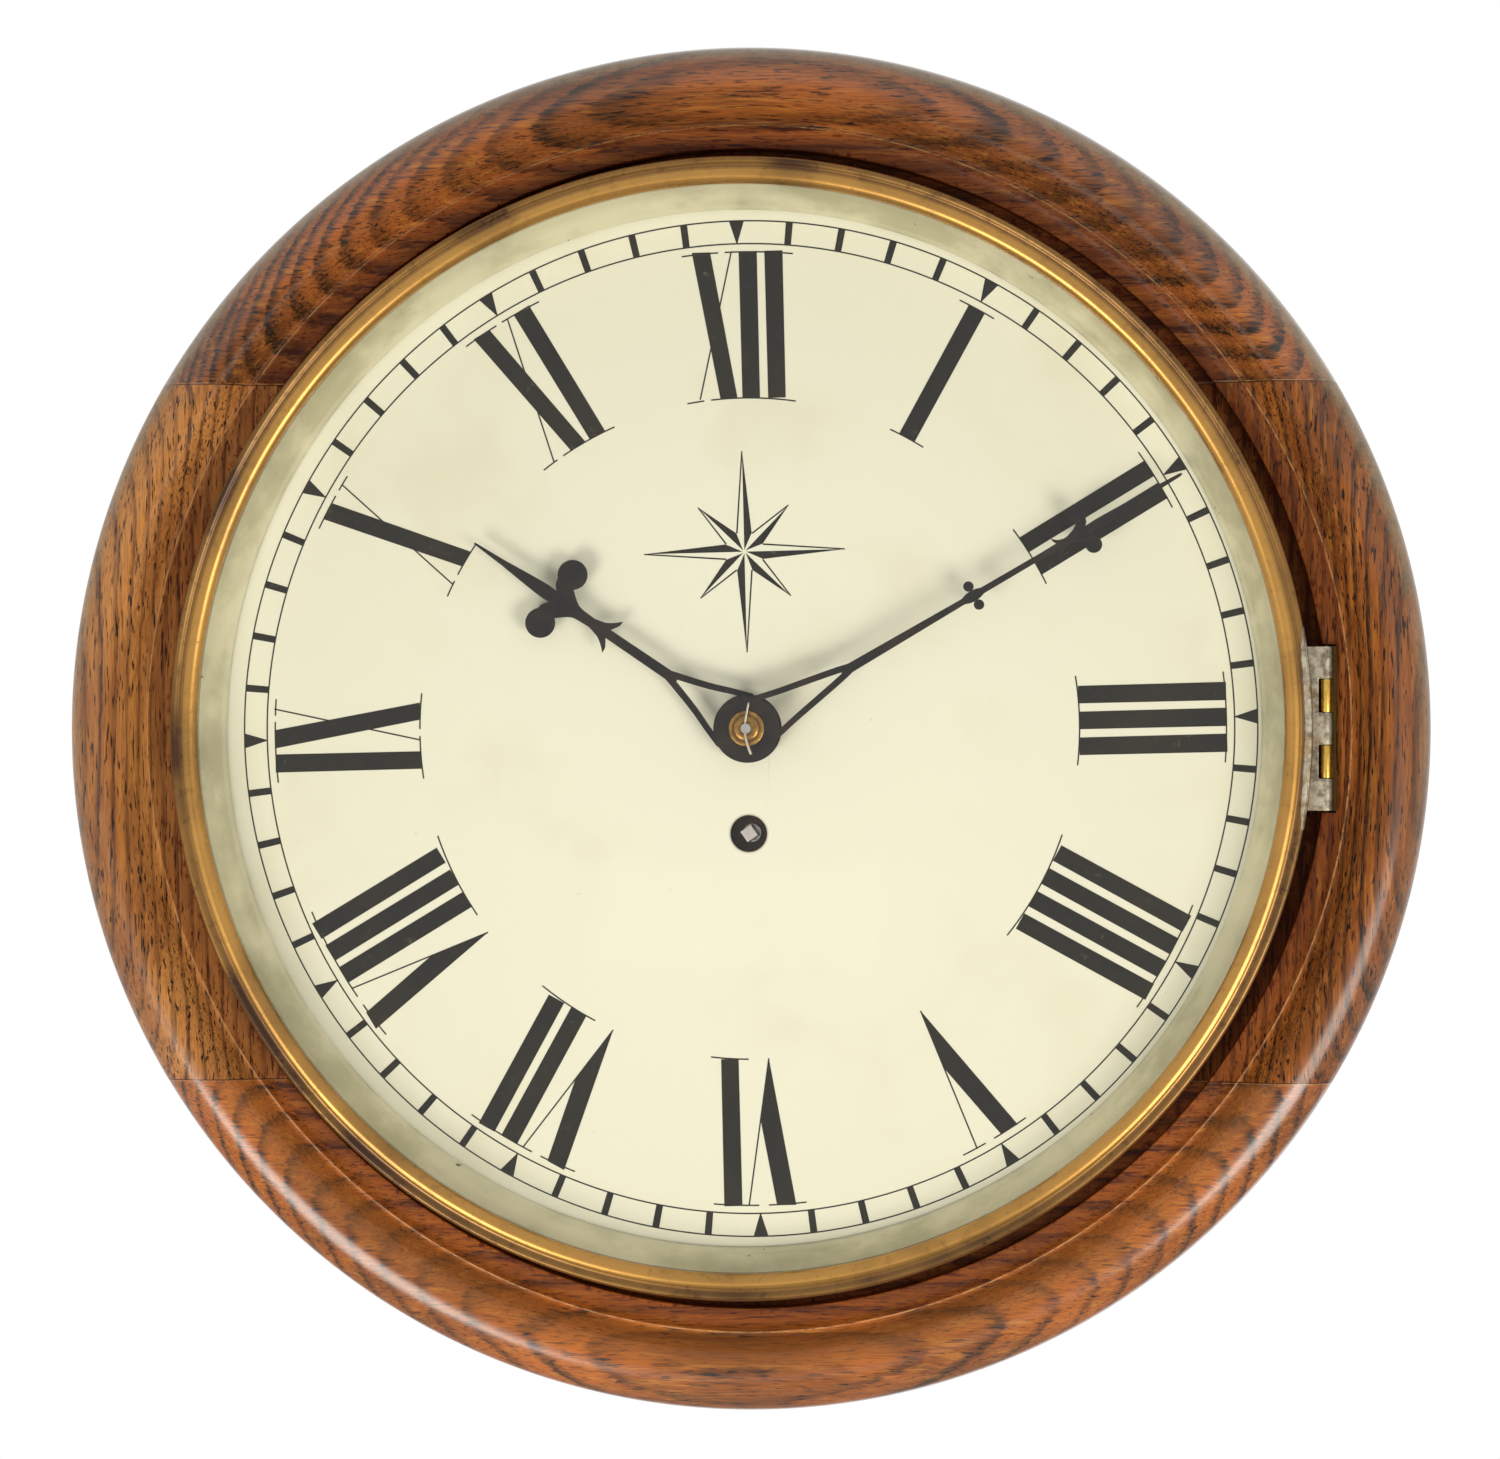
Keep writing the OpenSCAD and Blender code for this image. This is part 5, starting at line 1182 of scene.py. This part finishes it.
def solder_smear():
    """Solder run over the bezel's outer bead beside the hinge leaf, flared out at both ends."""
    bm = bmesh.new()
    rows, columns = 72, 14
    points = [[solder_point(-1 + 2 * i / rows, j / columns) for j in range(columns + 1)]
              for i in range(rows + 1)]
    top = [[bm.verts.new(spot(*p)) for p in row] for row in points]
    under = [[bm.verts.new(spot(x - 0.2, up, depth - SOLDER_T)) for x, up, depth in row] for row in points]
    for i in range(rows):
        for j in range(columns):
            bm.faces.new((top[i][j], top[i + 1][j], top[i + 1][j + 1], top[i][j + 1]))
            bm.faces.new((under[i][j], under[i][j + 1], under[i + 1][j + 1], under[i + 1][j]))
    for i in range(rows):
        for j in (0, columns):
            bm.faces.new((top[i][j], under[i][j], under[i + 1][j], top[i + 1][j]))
    for j in range(columns):
        for i in (0, rows):
            bm.faces.new((top[i][j], top[i][j + 1], under[i][j + 1], under[i][j]))
    return made("hinge_solder_run", bm, 60)


def hinge():
    stands_for(softened("bezel_hinge_leaf", 0.3, 3), "bezel_hinge_leaf")
    stands_for(softened("case_hinge_leaf", 0.25, 3), "case_hinge_leaf")
    smear = dress(solder_smear(), "hinge_solder")
    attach(smear, "bezel")


# Box, doors and movement

def rounded_parts():
    """Nodes that keep their shape and get eased edges."""
    by_width = {
        0.7: ["box_back", "box_top", "box_bottom", "box_side_left", "box_side_right", "bottom_door",
              "side_door"],
        0.35: ["hanging_plate", "bottom_door_button", "side_door_button", "front_plate", "back_plate",
               "back_cock", "hour_bridge", "pallets"],
        0.2: ["bezel_tongue", "barrel_click", "rating_nut"],
    }
    finishes = {node: "case_oak_across" for node in ("box_top", "box_bottom", "bottom_door", "box_back")}
    finishes["front_plate"] = "plate_front_brass_hole_shade"
    for width, names in by_width.items():
        for node in names:
            stands_for(softened(node, width), node, finishes.get(node))


def plain_nodes():
    """CAD nodes whose shape is right as it is get only their finish.

    The surround's slot has a finish for each board and none of its own; its hidden nodes take the case's.
    """
    for node, piece in nodes.items():
        for place in piece.material_slots:
            place.material = FINISHES.get(slot_of[node], FINISHES["case_oak"])
    nodes["fusee"].material_slots[0].material = FINISHES["winding_brass"]
    nodes["centre_wheel"].material_slots[0].material = FINISHES["arbor_brass"]


# Stage

def stood(name, data, place, aim):
    """A lamp or a camera at a place, turned towards another."""
    new = new_object(name, data)
    new.location = place
    new.rotation_euler = (aim - place).to_track_quat("-Z", "Y").to_euler()
    return new


def lamp(name, place):
    data = bpy.data.lights.new(name, "AREA")
    data.shape, data.size, data.energy, data.color = "SQUARE", LAMP_SIZE, LAMP_POWER, LAMP_COLOUR
    stood(name, data, place, LAMP_AIM)


def white_room():
    """A world that is white to the camera, to reflections and through glass, and otherwise dimmer."""
    world = bpy.data.worlds.new("white_room")
    bpy.context.scene.world = world
    world.use_nodes = True
    t = Tree(world.node_tree)
    ray = t.add("ShaderNodeLightPath").outputs
    seen = ray["Is Camera Ray"]
    for other in ("Is Glossy Ray", "Is Transmission Ray"):
        seen = t.math("MAXIMUM", seen, ray[other])
    dim = t.add("ShaderNodeBackground", {"Color": DIM_COLOUR, "Strength": DIM_STRENGTH})
    white = t.add("ShaderNodeBackground", {"Color": WHITE, "Strength": 1.0})
    share = t.add("ShaderNodeMixShader", {0: seen, 1: dim.outputs[0], 2: white.outputs[0]})
    t.add("ShaderNodeOutputWorld", {0: share.outputs[0]})


def floor():
    bm = bmesh.new()
    bmesh.ops.create_grid(bm, x_segments=1, y_segments=1, size=2.5)
    for v in bm.verts:
        v.co.z = FLOOR_UP
    piece = made("floor", bm)
    f = Finish("pale_floor")
    f.give(Base_Color=(0.86, 0.86, 0.85, 1.0), Roughness=0.7)
    piece.data.materials.append(f.material)


def camera():
    data = bpy.data.cameras.new("camera")
    place = Vector((CAMERA_RIGHT, CAMERA_AIM.y - CAMERA_AWAY, CAMERA_AIM.z))
    data.sensor_width = 36.0
    data.lens = data.sensor_width * (CAMERA_AIM - place).length / VIEW_W
    data.clip_start, data.clip_end = 0.05, 50.0
    bpy.context.scene.camera = stood("camera", data, place, CAMERA_AIM)


def stage():
    bpy.context.scene.view_settings.view_transform = "Standard"
    white_room()
    floor()
    for name, place in LAMPS.items():
        lamp(name, place)
    camera()


plain_nodes()
surround()
bezel()
glass()
sight_ring()
dial()
hands()
hinge()
rounded_parts()
stage()
